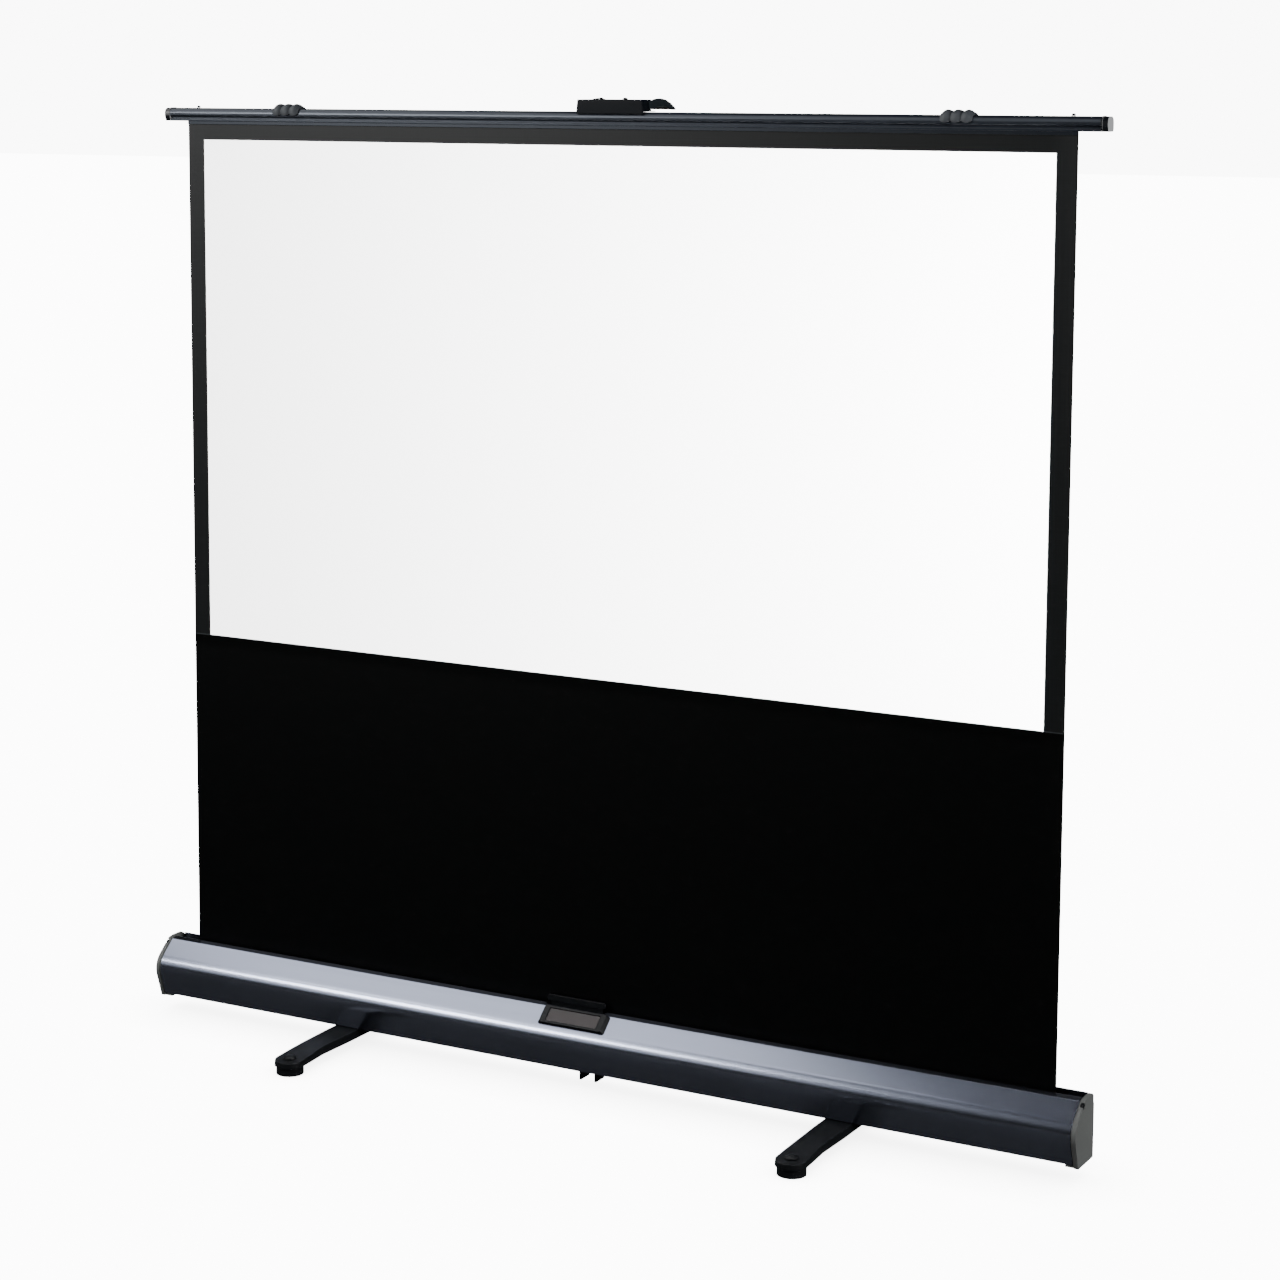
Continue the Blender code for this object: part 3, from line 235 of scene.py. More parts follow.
def stretched(tree, vector, scale):
    """A place scaled along each axis, which stretches a pattern the other way."""
    node = tree.nodes.new("ShaderNodeMapping")
    node.inputs["Scale"].default_value = scale
    link(tree, vector, node.inputs["Vector"])
    return node.outputs["Vector"]


def place(tree):
    """The place on the piece, in its own metres."""
    return tree.nodes.new("ShaderNodeTexCoord").outputs["Object"]


def per_length(tree, vector, length):
    """A place counted in lengths, so that a pattern repeats at about that length."""
    node = tree.nodes.new("ShaderNodeVectorMath")
    node.operation = "SCALE"
    link(tree, vector, node.inputs[0])
    link(tree, maths(tree, "DIVIDE", 1.0, length), node.inputs["Scale"])
    return node.outputs[0]


def axes(tree, vector):
    """The X, Y and Z of a vector, by name."""
    node = tree.nodes.new("ShaderNodeSeparateXYZ")
    link(tree, vector, node.inputs[0])
    return node.outputs


def tint(tree, amount, base, other):
    """Mixes two colours by an amount; each colour is a socket or three numbers."""
    node = tree.nodes.new("ShaderNodeMix")
    node.data_type = "RGBA"
    for slot, value in ((node.inputs[6], base), (node.inputs[7], other)):
        if hasattr(value, "links"):
            link(tree, value, slot)
        else:
            slot.default_value = (*value, 1.0)
    if isinstance(amount, (int, float)):
        node.inputs[0].default_value = amount
    else:
        link(tree, amount, node.inputs[0])
    return node.outputs[2]


# Shared shader effects


def build_grain():
    """Fine moulded grain: a height, and a slow mottle of the colour."""
    group, given, out = new_group("moulded_grain", [("Size", FLOAT, 0.0006)],
                                  [("Height", FLOAT), ("Mottle", FLOAT)])
    where = place(group)
    fine = noise_field(group, per_length(group, where, given.outputs["Size"]), 1.0, 2.0)
    link(group, fine, out.inputs["Height"])
    link(group, noise_field(group, where, 22.0, 3.0), out.inputs["Mottle"])
    return group


def build_drawn_lines():
    """Fine lines along X, as an extrusion or a drawn rod has them."""
    group, given, out = new_group("drawn_lines", [("Pitch", FLOAT, 0.0010)],
                                  [("Height", FLOAT), ("Streak", FLOAT)])
    where = place(group)
    along = per_length(group, stretched(group, where, (0.012, 1.0, 1.0)), given.outputs["Pitch"])
    link(group, noise_field(group, along, 1.0, 3.0, 0.6), out.inputs["Height"])
    slow = stretched(group, where, (1.2, 60.0, 60.0))
    link(group, noise_field(group, slow, 1.0, 2.0), out.inputs["Streak"])
    return group


def build_edge_rub():
    """A mask that is bright where an edge turns, broken up as wear is."""
    group, given, out = new_group("edge_rub", [("Width", FLOAT, 0.0007)],
                                  [("Mask", FLOAT), ("Rounded", VECTOR)])
    round_edge = group.nodes.new("ShaderNodeBevel")
    round_edge.samples = 4
    link(group, given.outputs["Width"], round_edge.inputs["Radius"])
    true_face = group.nodes.new("ShaderNodeNewGeometry").outputs["Normal"]
    dot = group.nodes.new("ShaderNodeVectorMath")
    dot.operation = "DOT_PRODUCT"
    link(group, round_edge.outputs["Normal"], dot.inputs[0])
    link(group, true_face, dot.inputs[1])
    edge = ramp(group, dot.outputs["Value"], 0.985, 0.80)
    broken = ramp(group, noise_field(group, place(group), 90.0, 4.0), 0.35, 0.65, 0.35, 1.0)
    link(group, maths(group, "MULTIPLY", edge, broken), out.inputs["Mask"])
    link(group, round_edge.outputs["Normal"], out.inputs["Rounded"])
    return group


def build_dust():
    """A thin dust on what faces up."""
    group, given, out = new_group("settled_dust", [("Amount", FLOAT, 0.2)], [("Mask", FLOAT)])
    face = group.nodes.new("ShaderNodeNewGeometry").outputs["Normal"]
    up = ramp(group, axes(group, face)["Z"], 0.55, 1.0)
    patchy = ramp(group, noise_field(group, place(group), 14.0, 5.0, 0.65), 0.35, 0.75)
    mask = maths(group, "MULTIPLY", maths(group, "MULTIPLY", up, patchy), given.outputs["Amount"])
    link(group, mask, out.inputs["Mask"])
    return group


def build_weave():
    """A plain weave in the XZ plane: threads over and under, with a few thick ones."""
    group, given, out = new_group("plain_weave", [("Pitch", FLOAT, 0.0008)],
                                  [("Height", FLOAT), ("Slub", FLOAT)])
    where = place(group)
    parts = axes(group, where)
    turn = maths(group, "DIVIDE", 2 * math.pi, given.outputs["Pitch"])
    warp = maths(group, "SINE", maths(group, "MULTIPLY", parts["X"], turn))
    weft = maths(group, "SINE", maths(group, "MULTIPLY", parts["Z"], turn))
    link(group, maths(group, "MULTIPLY", warp, weft), out.inputs["Height"])
    long_threads = noise_field(group, stretched(group, where, (2.0, 2.0, 900.0)), 1.0, 2.0)
    tall_threads = noise_field(group, stretched(group, where, (900.0, 2.0, 2.0)), 1.0, 2.0)
    link(group, maths(group, "MULTIPLY", long_threads, tall_threads), out.inputs["Slub"])
    return group


EFFECTS = {}


def effects():
    """The shared groups, built once."""
    if not EFFECTS:
        EFFECTS["grain"] = build_grain()
        EFFECTS["lines"] = build_drawn_lines()
        EFFECTS["rub"] = build_edge_rub()
        EFFECTS["dust"] = build_dust()
        EFFECTS["weave"] = build_weave()
    return EFFECTS


def use(tree, name, **values):
    """Places a shared group in a material with its own values."""
    node = tree.nodes.new("ShaderNodeGroup")
    node.node_tree = effects()[name]
    for label, value in values.items():
        node.inputs[label].default_value = value
    return node


# Finishes


def new_finish(name, roughness, metallic=0.0):
    """A material with a bare Principled shader; returns it, its tree and the shader."""
    made = bpy.data.materials.new(name)
    made.use_nodes = True
    tree = made.node_tree
    shader = tree.nodes["Principled BSDF"]
    shader.inputs["Roughness"].default_value = roughness
    shader.inputs["Metallic"].default_value = metallic
    return made, tree, shader


def bump(tree, shader, height, depth, strength, normal=None):
    """Raises the surface by a height, over another normal where one is given."""
    node = tree.nodes.new("ShaderNodeBump")
    if normal:
        link(tree, normal, node.inputs["Normal"])
    node.inputs["Strength"].default_value = strength
    node.inputs["Distance"].default_value = depth
    link(tree, height, node.inputs["Height"])
    link(tree, node.outputs["Normal"], shader.inputs["Normal"])


def scaled(colour, factor):
    """A lighter or darker colour of the same hue."""
    return tuple(min(1.0, c * factor) for c in colour)


def anodised(name, colour, roughness, pitch, metallic, rub, dust, fineness=0.015):
    """Anodised or drawn metal: hair lines, a slow streak, bright rubbed edges, a little dust."""
    made, tree, shader = new_finish(name, roughness, metallic)
    lines = use(tree, "lines", Pitch=pitch)
    edge = use(tree, "rub", Width=0.0006)
    fluff = use(tree, "dust", Amount=dust)
    streak = ramp(tree, lines.outputs["Streak"], 0.3, 0.7)
    body = tint(tree, streak, scaled(colour, 0.97), scaled(colour, 1.03))
    worn = tint(tree, maths(tree, "MULTIPLY", edge.outputs["Mask"], rub), body, scaled(colour, 1.9))
    link(tree, tint(tree, fluff.outputs["Mask"], worn, (0.30, 0.30, 0.30)), shader.inputs["Base Color"])
    rough = ramp(tree, lines.outputs["Height"], 0.25, 0.75, roughness - fineness, roughness + fineness)
    rougher = maths(tree, "ADD", rough, maths(tree, "MULTIPLY", fluff.outputs["Mask"], 0.2))
    link(tree, rougher, shader.inputs["Roughness"])
    bump(tree, shader, lines.outputs["Height"], 0.000003, 0.15, edge.outputs["Rounded"])
    return made


def moulded(name, colour, roughness, grain=0.0007, depth=0.00003, rub=0.35, dust=0.05,
            painted_lit_end_colour=None, specular=0.5):
    """Moulded plastic: fine grain, mottle, paler rubbed edges and dust on top.

    With an end colour, the faces that look along X take it as painted light: a pale lit end where the light
    falls on a cap's end.
    """
    made, tree, shader = new_finish(name, roughness)
    shader.inputs["Specular IOR Level"].default_value = specular
    fine = use(tree, "grain", Size=grain)
    edge = use(tree, "rub", Width=0.0008)
    fluff = use(tree, "dust", Amount=dust)
    mottle = ramp(tree, fine.outputs["Mottle"], 0.3, 0.7)
    body = tint(tree, mottle, scaled(colour, 0.94), scaled(colour, 1.06))
    # Painted light: the faces that look along X are painted pale, as a lit end.
    if painted_lit_end_colour:
        facing = axes(tree, tree.nodes.new("ShaderNodeTexCoord").outputs["Normal"])["X"]
        facing = ramp(tree, maths(tree, "ABSOLUTE", facing), 0.80, 0.95)
        body = tint(tree, facing, body, painted_lit_end_colour)
    worn = tint(tree, maths(tree, "MULTIPLY", edge.outputs["Mask"], rub), body, scaled(colour, 2.2))
    link(tree, tint(tree, fluff.outputs["Mask"], worn, (0.20, 0.20, 0.20)), shader.inputs["Base Color"])
    rough = ramp(tree, fine.outputs["Mottle"], 0.3, 0.7, roughness - 0.03, roughness + 0.04)
    link(tree, rough, shader.inputs["Roughness"])
    bump(tree, shader, fine.outputs["Height"], depth, 0.4, edge.outputs["Rounded"])
    return made


def plated(name, colour, roughness):
    """Plated steel: a slow haze, fine scratches and dulled edges."""
    made, tree, shader = new_finish(name, roughness, 1.0)
    where = place(tree)
    haze = ramp(tree, noise_field(tree, where, 60.0, 3.0), 0.3, 0.7)
    link(tree, tint(tree, haze, scaled(colour, 0.88), scaled(colour, 1.06)), shader.inputs["Base Color"])
    scratch = noise_field(tree, stretched(tree, where, (300.0, 300.0, 1800.0)), 1.0, 3.0)
    rough = ramp(tree, scratch, 0.3, 0.7, roughness - 0.05, roughness + 0.08)
    link(tree, rough, shader.inputs["Roughness"])
    bump(tree, shader, scratch, 0.00001, 0.4)
    return made


def woven(name, colour, roughness, pitch, specular, slubs, depth, above=None):
    """Coated cloth: a fine weave under the coat, with slubs in the warp and the weft.

    above is (height, colour, specular) of another coat that starts at that height, with a thin
    pale line where the two meet.
    """
    made, tree, shader = new_finish(name, roughness)
    threads = use(tree, "weave", Pitch=pitch)
    slub = ramp(tree, threads.outputs["Slub"], 0.15, 0.40)
    body = tint(tree, slub, scaled(colour, 1 - slubs), scaled(colour, 1 + slubs))
    shader.inputs["Specular IOR Level"].default_value = specular
    # Above the height the colour is lighter: on the border this is partly its own coat and partly painted
    # sheen.
    if above:
        height, other_colour, other_specular = above
        up = axes(tree, place(tree))["Z"]
        higher = maths(tree, "GREATER_THAN", up, height)
        other = tint(tree, slub, scaled(other_colour, 1 - slubs), scaled(other_colour, 1 + slubs))
        both = tint(tree, higher, body, other)
        off_line = maths(tree, "ABSOLUTE", maths(tree, "SUBTRACT", up, height))
        line = ramp(tree, off_line, 0.0004, 0.0012, 0.8, 0.0)
        body = tint(tree, line, both, scaled(other_colour, 6.0))
        level = ramp(tree, higher, 0.0, 1.0, specular, other_specular)
        link(tree, level, shader.inputs["Specular IOR Level"])
    link(tree, body, shader.inputs["Base Color"])
    rough = ramp(tree, threads.outputs["Height"], -1.0, 1.0, roughness - 0.03, roughness + 0.03)
    link(tree, rough, shader.inputs["Roughness"])
    bump(tree, shader, threads.outputs["Height"], depth, 0.25)
    return made


FINISHES = {}


def finish_for(slot):
    """The material for one of the record's material slots."""
    if slot in FINISHES:
        return FINISHES[slot]
    c = bpy.context.scene.screen_colours
    makers = {
        "gunmetal": lambda: anodised("satin_gunmetal", c.gunmetal, 0.24, 0.0009, 1.0, 0.25, 0.03, 0.008),
        "black_bar": lambda: anodised("satin_black_bar", c.bar_black, 0.30, 0.0009, 0.45, 0.2, 0.03, 0.002),
        "cap_grey": lambda: moulded("grained_grey", c.cap_grey, 0.52),
        "bar_cap": lambda: moulded("bar_cap_moulding", c.moulding, 0.30, painted_lit_end_colour=c.bar_cap),
        "dark_plastic": lambda: moulded("dark_moulding", c.moulding, 0.30, specular=0.09),
        "handle_black": lambda: moulded("smooth_handle", c.handle_black, 0.34, specular=0.45),
        "gloss_black": lambda: moulded("glossy_bezel", c.foot_black, 0.24, 0.0012, 0.00001, specular=0.16),
        "plate_brown": lambda: moulded("brown_press_plate", c.plate_brown, 0.55, 0.0009),
        "rubber": lambda: moulded("grey_rubber", c.rubber, 0.60, 0.0011, 0.00010, 0.3),
        "black_plastic": lambda: moulded("black_foot", c.foot_black, 0.42, dust=0.03, specular=0.18),
        "steel": lambda: plated("plated_steel", c.steel, 0.30),
        "chrome": lambda: plated("bright_screw", (0.78, 0.79, 0.80), 0.14),
        "aluminium": lambda: anodised("mill_aluminium", c.aluminium, 0.36, 0.0007, 1.0, 0.2, 0.05),
        # The border above the seam is painted lighter than the drop: partly its own coat, partly painted
        # sheen.
        "black_fabric": lambda: woven("black_cloth", c.cloth_black, 0.43, 0.0008, 0.16, 0.15, 0.00001,
                                      (SEAM_TOP, c.border_black_and_sheen, 0.25)),
        "white_fabric": lambda: woven("white_cloth", c.cloth_white, 0.90, 0.0007, 0.20, 0.004, 0.000004),
    }
    FINISHES[slot] = makers[slot]()
    return FINISHES[slot]


def coat(obj, slot):
    """Gives a piece of the scene's own its finish, and the record's slot of that name."""
    obj.data.materials.clear()
    obj.data.materials.append(finish_for(slot))
    return obj


def smooth_over(node):
    """Shades a faceted solid as the rounded form it stands for; edges over the angle stay sharp."""
    mesh = node.data
    if mesh.has_custom_normals:
        mesh.attributes.remove(mesh.attributes["custom_normal"])
    mesh.shade_smooth()
    weld = node.modifiers.new("weld", "WELD")
    weld.merge_threshold = WELD_GAP
    whole = node.modifiers.new("whole_faces", "DECIMATE")
    whole.decimate_type = "DISSOLVE"
    whole.angle_limit = ONE_FACE
    split = node.modifiers.new("sharp_edges", "EDGE_SPLIT")
    split.split_angle = SOLID_EDGE
    even = node.modifiers.new("even_normals", "WEIGHTED_NORMAL")
    even.keep_sharp = True


def dress_nodes(names, slot):
    """Gives CAD nodes a procedural finish in place of the plain colour, and smooth shading."""
    for name in names:
        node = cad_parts[name]
        node.data.materials.clear()
        node.data.materials.append(finish_for(slot))
        smooth_over(node)


# Mesh helpers


def grid_mesh(name, columns, rows, point):
    """A sheet of quads; point(i, k) gives each corner."""
    bm = bmesh.new()
    corners = [[bm.verts.new(point(i, k)) for k in range(rows + 1)] for i in range(columns + 1)]
    for i in range(columns):
        for k in range(rows):
            bm.faces.new((corners[i][k], corners[i + 1][k], corners[i + 1][k + 1], corners[i][k + 1]))
    mesh = bpy.data.meshes.new(name)
    bm.to_mesh(mesh)
    bm.free()
    mesh.shade_smooth()
    return new_piece(name, mesh)


def new_piece(name, mesh):
    """A new object in the scene."""
    obj = bpy.data.objects.new(name, mesh)
    bpy.context.scene.collection.objects.link(obj)
    return obj


def bake(obj):
    """Turns a piece's modifiers into its own mesh."""
    bpy.context.view_layer.update()
    depth = bpy.context.evaluated_depsgraph_get()
    mesh = bpy.data.meshes.new_from_object(obj.evaluated_get(depth))
    obj.modifiers.clear()
    mesh.set_sharp_from_angle(angle=SHEET_EDGE)
    obj.data = mesh
    return obj


def thicken(obj, thickness, offset):
    """Makes a sheet a shell: an offset of 1 grows it behind the sheet, and 0 to both sides."""
    shell = obj.modifiers.new("thickness", "SOLIDIFY")
    shell.thickness = thickness
    shell.offset = offset
    return bake(obj)


# Cloth


def wave(x, z, depth):
    """Slow waves of a hanging cloth, still along its top, its foot and the picture."""
    top = min(1.0, max(0.0, (PICTURE_LOW.z - z) / 0.12))
    foot = min(1.0, max(0.0, (z - CASE_TOP - 0.02) / 0.10))
    return depth * noise.noise(Vector((x * 2.3, 0.0, z * 0.7))) * top * foot


def steps_between(*marks):
    """Values at each mark and between them; a mark is (value, how many steps to the next)."""
    out = []
    for (value, count), (after, _) in zip(marks, marks[1:]):
        out += [value + (after - value) * i / count for i in range(count)]
    return out + [marks[-1][0]]


def build_black_cloth(s):
    """The black backing: side hems, a welded seam under the picture and the long drop."""
    half = CLOTH_HIGH.x
    middle = (CLOTH_LOW.y + CLOTH_HIGH.y) / 2
    inner = half - s.hem_width
    xs = steps_between((-half, 2), (-inner, 1), (-inner + HEM_STEP, 40), (inner - HEM_STEP, 1),
                       (inner, 2), (half, 0))
    seam = s.seam_width
    zs = steps_between((CLOTH_LOW.z, 3), (CASE_TOP, 26), (SEAM_TOP - seam, 1), (SEAM_TOP - seam * 0.75, 1),
                       (SEAM_TOP - seam * 0.25, 1), (SEAM_TOP, 1), (PICTURE_LOW.z, 24), (CLOTH_HIGH.z, 0))

    def point(i, k):
        x, z = xs[i], zs[k]
        front = middle - s.cloth_thickness / 2 + wave(x, z, s.ripple * 0.5)
        if abs(x) > inner - 0.0001:
            front -= HEM_RELIEF
        if SEAM_TOP - seam * 0.9 < z < SEAM_TOP - seam * 0.1:
            front -= SEAM_RELIEF
        return (x, front, z)

    cloth = grid_mesh("black_cloth", len(xs) - 1, len(zs) - 1, point)
    thicken(cloth, s.cloth_thickness, 1.0)
    coat(cloth, "black_fabric")
    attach(cloth, "base")
    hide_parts("fabric_black")
    return cloth


def build_picture(s):
    """The white coat in front of the backing."""
    low, high = PICTURE_LOW, PICTURE_HIGH
    columns, rows = 44, 26

    def point(i, k):
        x = low.x + (high.x - low.x) * i / columns
        z = low.z + (high.z - low.z) * k / rows
        return (x, high.y - s.picture_thickness, z)

    picture = grid_mesh("picture", columns, rows, point)
    thicken(picture, s.picture_thickness, 1.0)
    coat(picture, "white_fabric")
    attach(picture, "base")
    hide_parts("picture_surface")
    return picture


def build_wound_cloth(s):
    """The turns left on the roller, wound as one spiral strip."""
    centre = (TURNS_LOW + TURNS_HIGH) / 2
    outer = (TURNS_HIGH.z - TURNS_LOW.z) / 2 - 0.0003
    pitch = s.cloth_thickness + 0.00010
    columns = 2
    count = int(TURNS * STEPS_PER_TURN)

    def radius_at(k):
        return outer - pitch * (count - k) / STEPS_PER_TURN

    def point(i, k):
        angle = 2 * math.pi * k / STEPS_PER_TURN
        radius = radius_at(k)
        x = TURNS_LOW.x + (TURNS_HIGH.x - TURNS_LOW.x) * i / columns
        return (x, centre.y + radius * math.cos(angle), centre.z + radius * math.sin(angle))

    wound = grid_mesh("wound_cloth", columns, count, point)
    thicken(wound, s.cloth_thickness, 0.0)
    coat(wound, "black_fabric")
    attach(wound, "roller")
    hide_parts("fabric_turns")
    return wound


class SCREEN_OT_cloth(bpy.types.Operator):
    """Hangs the black backing, the white picture and the turns on the roller"""

    bl_idname = "screen.cloth"
    bl_label = "Cloth"

    def execute(self, context):
        s = context.scene.screen_cloth
        cloth = build_black_cloth(s)
        picture = build_picture(s)
        for piece in (cloth, picture):
            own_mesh(piece)
        build_wound_cloth(s)
        return {"FINISHED"}


# Rigid groups

LINKS = ("arm_a1", "arm_b1", "arm_a2", "arm_b2")
LINK_PINS = ("base_pin", "cross_pin_1", "cross_pin_2", "knee_pin_left", "knee_pin_right",
             "lower_shoe_pin", "upper_shoe_pin", "top_pin")
LINK_MOUNTS = ("base_bracket", "top_bracket")
SHOES = ("lower_shoe", "upper_shoe")


class SCREEN_OT_case(bpy.types.Operator):
    """Finishes the floor case, its end caps and their screws"""

    bl_idname = "screen.case"
    bl_label = "Floor case"

    def execute(self, context):
        dress_nodes(["case_extrusion"], "gunmetal")
        dress_nodes(["end_cap_left", "end_cap_right"], "cap_grey")
        dress_nodes(["end_cap_screw_left", "end_cap_screw_right", "centre_bracket"], "black_plastic")
        return {"FINISHED"}


class SCREEN_OT_latch(bpy.types.Operator):
    """Finishes the latch: bezel, press plate, hook, pin and spring"""

    bl_idname = "screen.latch"
    bl_label = "Latch"

    def execute(self, context):
        dress_nodes(["latch_bezel"], "gloss_black")
        dress_nodes(["latch_hook"], "black_plastic")
        dress_nodes(["release_plate"], "plate_brown")
        dress_nodes(["latch_pin", "latch_spring"], "steel")
        return {"FINISHED"}


class SCREEN_OT_roller(bpy.types.Operator):
    """Finishes the roller, its plugs, brackets, shaft and spring"""

    bl_idname = "screen.roller"
    bl_label = "Roller"

    def execute(self, context):
        dress_nodes(["roller_tube"], "aluminium")
        dress_nodes(["roller_plug_left", "roller_plug_right"], "black_plastic")
        dress_nodes(["roller_bracket_left", "roller_bracket_right"], "steel")
        dress_nodes(["roller_pin", "spring_shaft", "roller_spring"], "steel")
        return {"FINISHED"}


class SCREEN_OT_linkage(bpy.types.Operator):
    """Finishes the scissor links, their pins, shoes, brackets and lower track"""

    bl_idname = "screen.linkage"
    bl_label = "Scissor linkage"

    def execute(self, context):
        dress_nodes(LINKS + ("lower_track",), "aluminium")
        dress_nodes(LINK_PINS + LINK_MOUNTS, "steel")
        dress_nodes(SHOES, "dark_plastic")
        return {"FINISHED"}


def build_clamp_strip():
    """The clamp strip with rounded long edges, pressed up against the bar over the cloth."""
    low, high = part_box("fabric_clamp")
    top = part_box("top_bar")[0].z - 0.00002
    edge = 0.0005
    section = [(low.y, low.z + edge), (low.y, top - edge * 0.4), (low.y + edge * 0.4, top),
               (high.y, top), (high.y, low.z), (low.y + edge, low.z),
               (low.y + edge * 0.3, low.z + edge * 0.3)]
    bm = bmesh.new()
    ends = [[bm.verts.new((x, y, z)) for y, z in section] for x in (low.x, high.x)]
    bm.faces.new(ends[0])
    bm.faces.new(list(reversed(ends[1])))
    for i in range(len(section)):
        k = (i + 1) % len(section)
        bm.faces.new((ends[0][i], ends[1][i], ends[1][k], ends[0][k]))
    bmesh.ops.recalc_face_normals(bm, faces=bm.faces)
    mesh = bpy.data.meshes.new("clamp_strip")
    bm.to_mesh(mesh)
    bm.free()
    strip = coat(new_piece("clamp_strip", mesh), "black_bar")
    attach(strip, "bar")
    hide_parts("fabric_clamp")
    return strip


class SCREEN_OT_bar(bpy.types.Operator):
    """Finishes the top bar, its caps, pins, saddles and the cloth's clamp"""

    bl_idname = "screen.bar"
    bl_label = "Top bar"

    def execute(self, context):
        dress_nodes(["top_bar"], "black_bar")
        build_clamp_strip()
        dress_nodes(["bar_cap_left", "bar_cap_right"], "bar_cap")
        dress_nodes(["bar_pin_left", "bar_pin_right"], "black_plastic")
        dress_nodes(["saddle_pad_left", "saddle_pad_right"], "rubber")
        return {"FINISHED"}


class SCREEN_OT_handle(bpy.types.Operator):
    """Finishes the handle box, its screws and the carry handle"""

    bl_idname = "screen.handle"
    bl_label = "Handle"

    def execute(self, context):
        dress_nodes(["handle_box"], "dark_plastic")
        dress_nodes(["carry_handle"], "handle_black")
        dress_nodes(["box_screw_left", "box_screw_right"], "chrome")
        return {"FINISHED"}


class SCREEN_OT_feet(bpy.types.Operator):
    """Finishes the swing-out feet, their pivots and the levelling pads"""

    bl_idname = "screen.feet"
    bl_label = "Feet"

    def execute(self, context):
        dress_nodes(["foot_left", "foot_right"], "black_plastic")
        dress_nodes(["foot_pivot_left", "foot_pivot_right"], "steel")
        for side in ("left", "right"):
            pads = ["levelling_pad_%s_%s" % (side, end) for end in ("front", "rear")]
            dress_nodes(pads, "black_plastic")
        return {"FINISHED"}


# Stage

# Name, place, point it looks at, width and height, the setting of its power, and the pieces that
# it is kept to, if any.
SOFTBOXES = (
    ("front_left_softbox", (-2.4, -2.9, 2.35), (0, 0, 0.6), (1.3, 0.55), "front_power", ()),
    ("low_left_softbox", (-2.1, -3.2, 1.42), (0, 0, 0.1), (1.9, 1.0), "low_power", ()),
    ("upper_left_softbox", (-2.15, -2.2, 2.85), (0, 0, 0.4), (1.9, 0.95), "left_power", ()),
    ("overhead_softbox", (-1.9, -0.6, 3.0), (-0.4, 0, 0.1), (2.3, 1.8), "top_power", ()),
    ("right_softbox", (3.6, -0.7, 1.7), (0.8, 0, 0.8), (1.2, 1.8), "right_power", ()),
    ("rear_softbox", (0.4, 3.6, 2.8), (0, 0, 0.8), (3.0, 1.6), "rear_power", ()),
    ("picture_softbox", (2.2, -1.9, 1.2), (0.3, 0, 1.1), (0.8, 0.8), "picture_power", ("picture",)),
    ("bar_softbox", (-0.1, -1.5, 2.9), (0.5, 0, 1.6), (1.8, 1.6), "bar_power",
     ("top_bar", "saddle_pad_right", "carry_handle")),
    ("linkage_softbox", (0, 3.0, 0.8), (0, 0, 0.8), (6.0, 1.6), "linkage_power",
     LINKS + LINK_PINS + LINK_MOUNTS + SHOES + ("case_extrusion",)),
)


def softbox(name, where, target, size, power, pieces):
    """A soft area light that looks at a point, kept to some pieces if any are named."""
    light = bpy.data.lights.new(name, "AREA")
    light.shape = "RECTANGLE"
    light.size, light.size_y = size
    light.energy = power
    lamp = bpy.data.objects.new(name, light)
    bpy.context.scene.collection.objects.link(lamp)
    lamp.location = where
    lamp.rotation_euler = (Vector(target) - Vector(where)).to_track_quat("-Z", "Y").to_euler()
    if pieces:
        only = bpy.data.collections.new(name + "_receives")
        for piece in pieces:
            only.objects.link(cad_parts.get(piece) or bpy.data.objects[piece])
        lamp.light_linking.receiver_collection = only


def to_camera(tree, seen, unseen, surface):
    """Shows one shader to the camera and another to everything else."""
    mixed = tree.nodes.new("ShaderNodeMixShader")
    link(tree, tree.nodes.new("ShaderNodeLightPath").outputs["Is Camera Ray"], mixed.inputs[0])
    link(tree, unseen.outputs[0], mixed.inputs[1])
    link(tree, seen.outputs[0], mixed.inputs[2])
    link(tree, mixed.outputs[0], surface)


def build_room(s):
    """The room that the finishes mirror: dim in front, brighter behind, plain white to look at."""
    world = bpy.data.worlds.new("studio_room")
    world.use_nodes = True
    tree = world.node_tree
    room = tree.nodes["Background"]
    backwards = axes(tree, tree.nodes.new("ShaderNodeTexCoord").outputs["Generated"])["Y"]
    link(tree, ramp(tree, backwards, -0.3, 0.7, s.room * 0.18, s.room), room.inputs["Strength"])
    seen = tree.nodes.new("ShaderNodeBackground")
    seen.inputs["Strength"].default_value = s.backdrop
    to_camera(tree, seen, room, tree.nodes["World Output"].inputs["Surface"])
    return world


def build_floor(s):
    """A plain pale floor with a soft painted shade where something stands close over it."""
    reach = 40
    floor = grid_mesh("floor", 1, 1, lambda i, k: (reach * (2 * i - 1), reach * (2 * k - 1), 0))
    paint, tree, shader = new_finish("pale_floor", 0.9)
    shader.inputs["Base Color"].default_value = (*[s.floor_tone] * 3, 1)
    shader.inputs["Specular IOR Level"].default_value = 0.0
    # Painted shadow: the glow dims where ambient occlusion finds something close over the floor.
    near = tree.nodes.new("ShaderNodeAmbientOcclusion")
    near.inputs["Distance"].default_value = 0.12
    near.samples = 8
    glow = tree.nodes.new("ShaderNodeEmission")
    painted_shade_strength = ramp(tree, near.outputs["AO"], 0.0, 1.0, s.backdrop * 0.35, s.backdrop)
    link(tree, painted_shade_strength, glow.inputs["Strength"])
    to_camera(tree, glow, shader, tree.nodes["Material Output"].inputs["Surface"])
    floor.data.materials.append(paint)
    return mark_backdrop(floor)


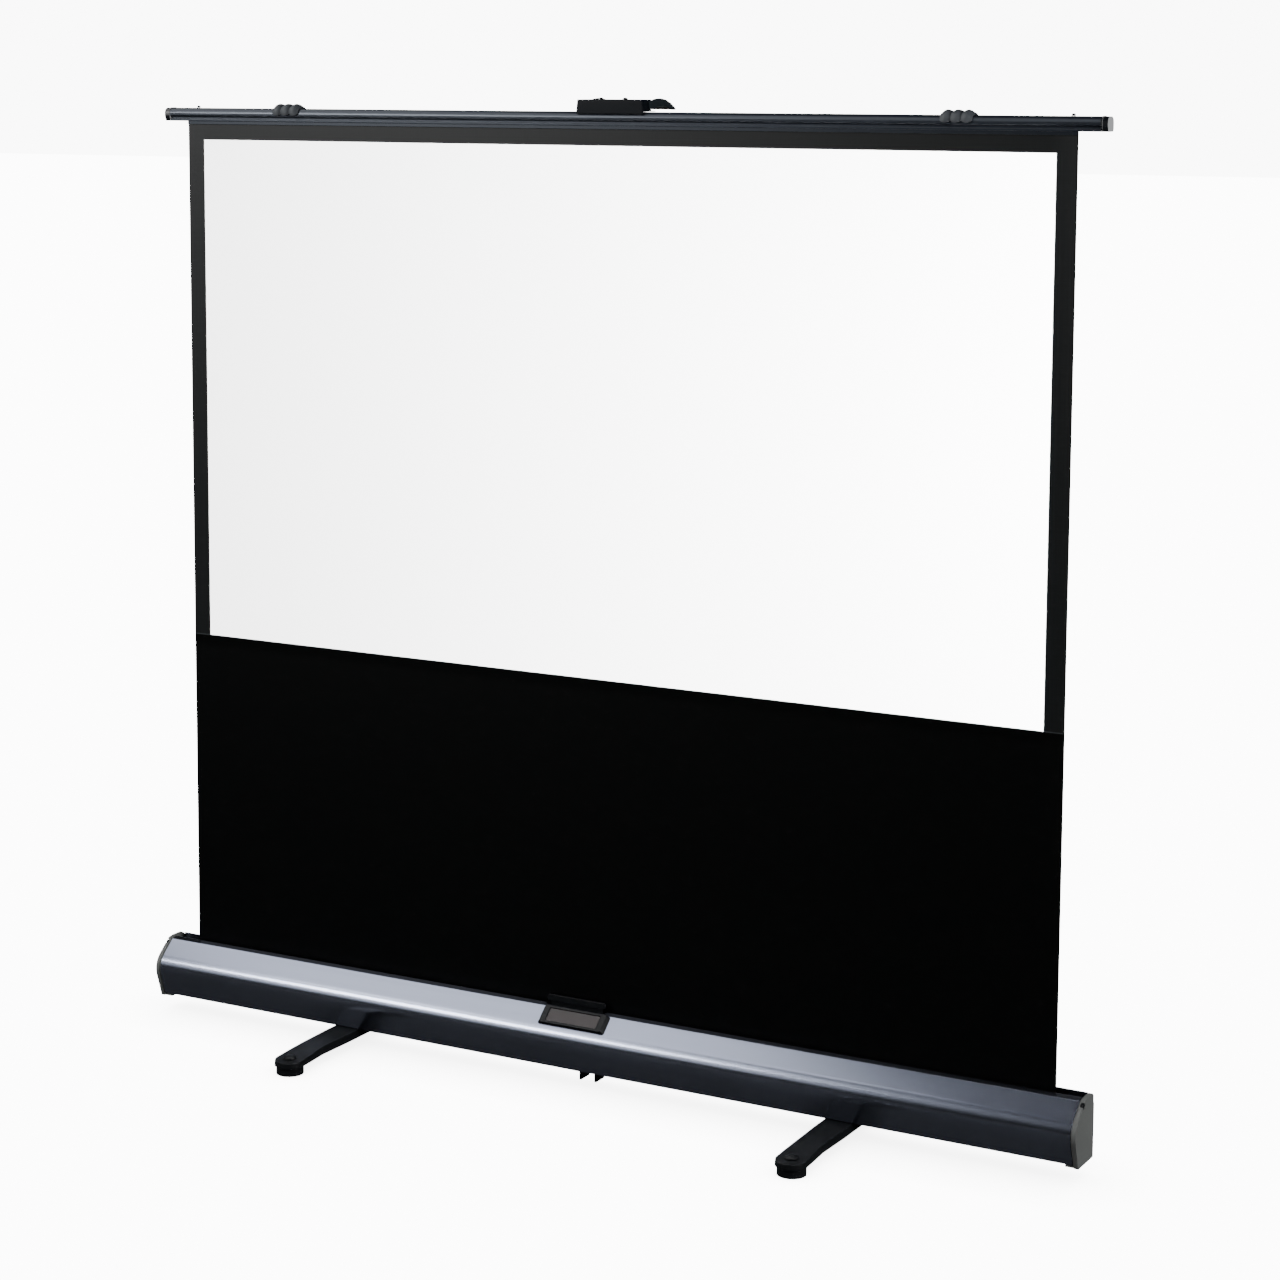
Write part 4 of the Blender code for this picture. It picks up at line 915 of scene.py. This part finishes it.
def build_camera(s):
    """The camera at the photograph's place, with the small shift that its framing needs."""
    camera = bpy.data.objects.new("camera", bpy.data.cameras.new("camera"))
    bpy.context.scene.collection.objects.link(camera)
    camera.location = s.place
    camera.rotation_euler = (math.pi / 2 - s.tilt, 0, s.turn)
    camera.data.lens = s.lens
    camera.data.sensor_width = 36
    camera.data.shift_x = s.slide
    camera.data.shift_y = s.rise
    camera.data.clip_end = 100
    return camera


class SCREEN_OT_stage(bpy.types.Operator):
    """Sets the pale floor, the white room, the softboxes and the camera"""

    bl_idname = "screen.stage"
    bl_label = "Stage"

    def execute(self, context):
        s = context.scene.screen_stage
        build_floor(s)
        context.scene.world = build_room(s)
        for name, where, target, size, power, pieces in SOFTBOXES:
            softbox(name, where, target, size, getattr(s, power), pieces)
        bpy.data.objects["rear_softbox"].visible_glossy = False
        context.scene.camera = build_camera(s)
        return {"FINISHED"}


# Add-on

SETTINGS = {"screen_cloth": ScreenClothSettings, "screen_colours": ScreenColourSettings,
            "screen_stage": ScreenStageSettings}

OPERATORS = (SCREEN_OT_case, SCREEN_OT_latch, SCREEN_OT_roller, SCREEN_OT_linkage, SCREEN_OT_bar,
             SCREEN_OT_handle, SCREEN_OT_feet, SCREEN_OT_cloth, SCREEN_OT_stage)


class SCREEN_PT_panel(bpy.types.Panel):
    """Lists the screen's settings and pieces"""

    bl_idname = "SCREEN_PT_panel"
    bl_label = "Projection screen"
    bl_space_type = "VIEW_3D"
    bl_region_type = "UI"
    bl_category = "Screen"

    def draw(self, context):
        for group, cls in SETTINGS.items():
            box = self.layout.box()
            for name in cls.__annotations__:
                box.prop(getattr(context.scene, group), name)
        for operator in OPERATORS:
            self.layout.operator(operator.bl_idname)


CLASSES = (*SETTINGS.values(), *OPERATORS, SCREEN_PT_panel)


def register():
    """Adds the settings, the operators and the panel to Blender."""
    for cls in CLASSES:
        bpy.utils.register_class(cls)
    for name, cls in SETTINGS.items():
        setattr(bpy.types.Scene, name, PointerProperty(type=cls))


def unregister():
    """Takes them away again."""
    for name in SETTINGS:
        delattr(bpy.types.Scene, name)
    for cls in reversed(CLASSES):
        bpy.utils.unregister_class(cls)


def main():
    """Builds every piece and the stage."""
    register()
    for operator in OPERATORS:
        group, name = operator.bl_idname.split(".")
        getattr(getattr(bpy.ops, group), name)()


if __name__ == "__main__":
    main()
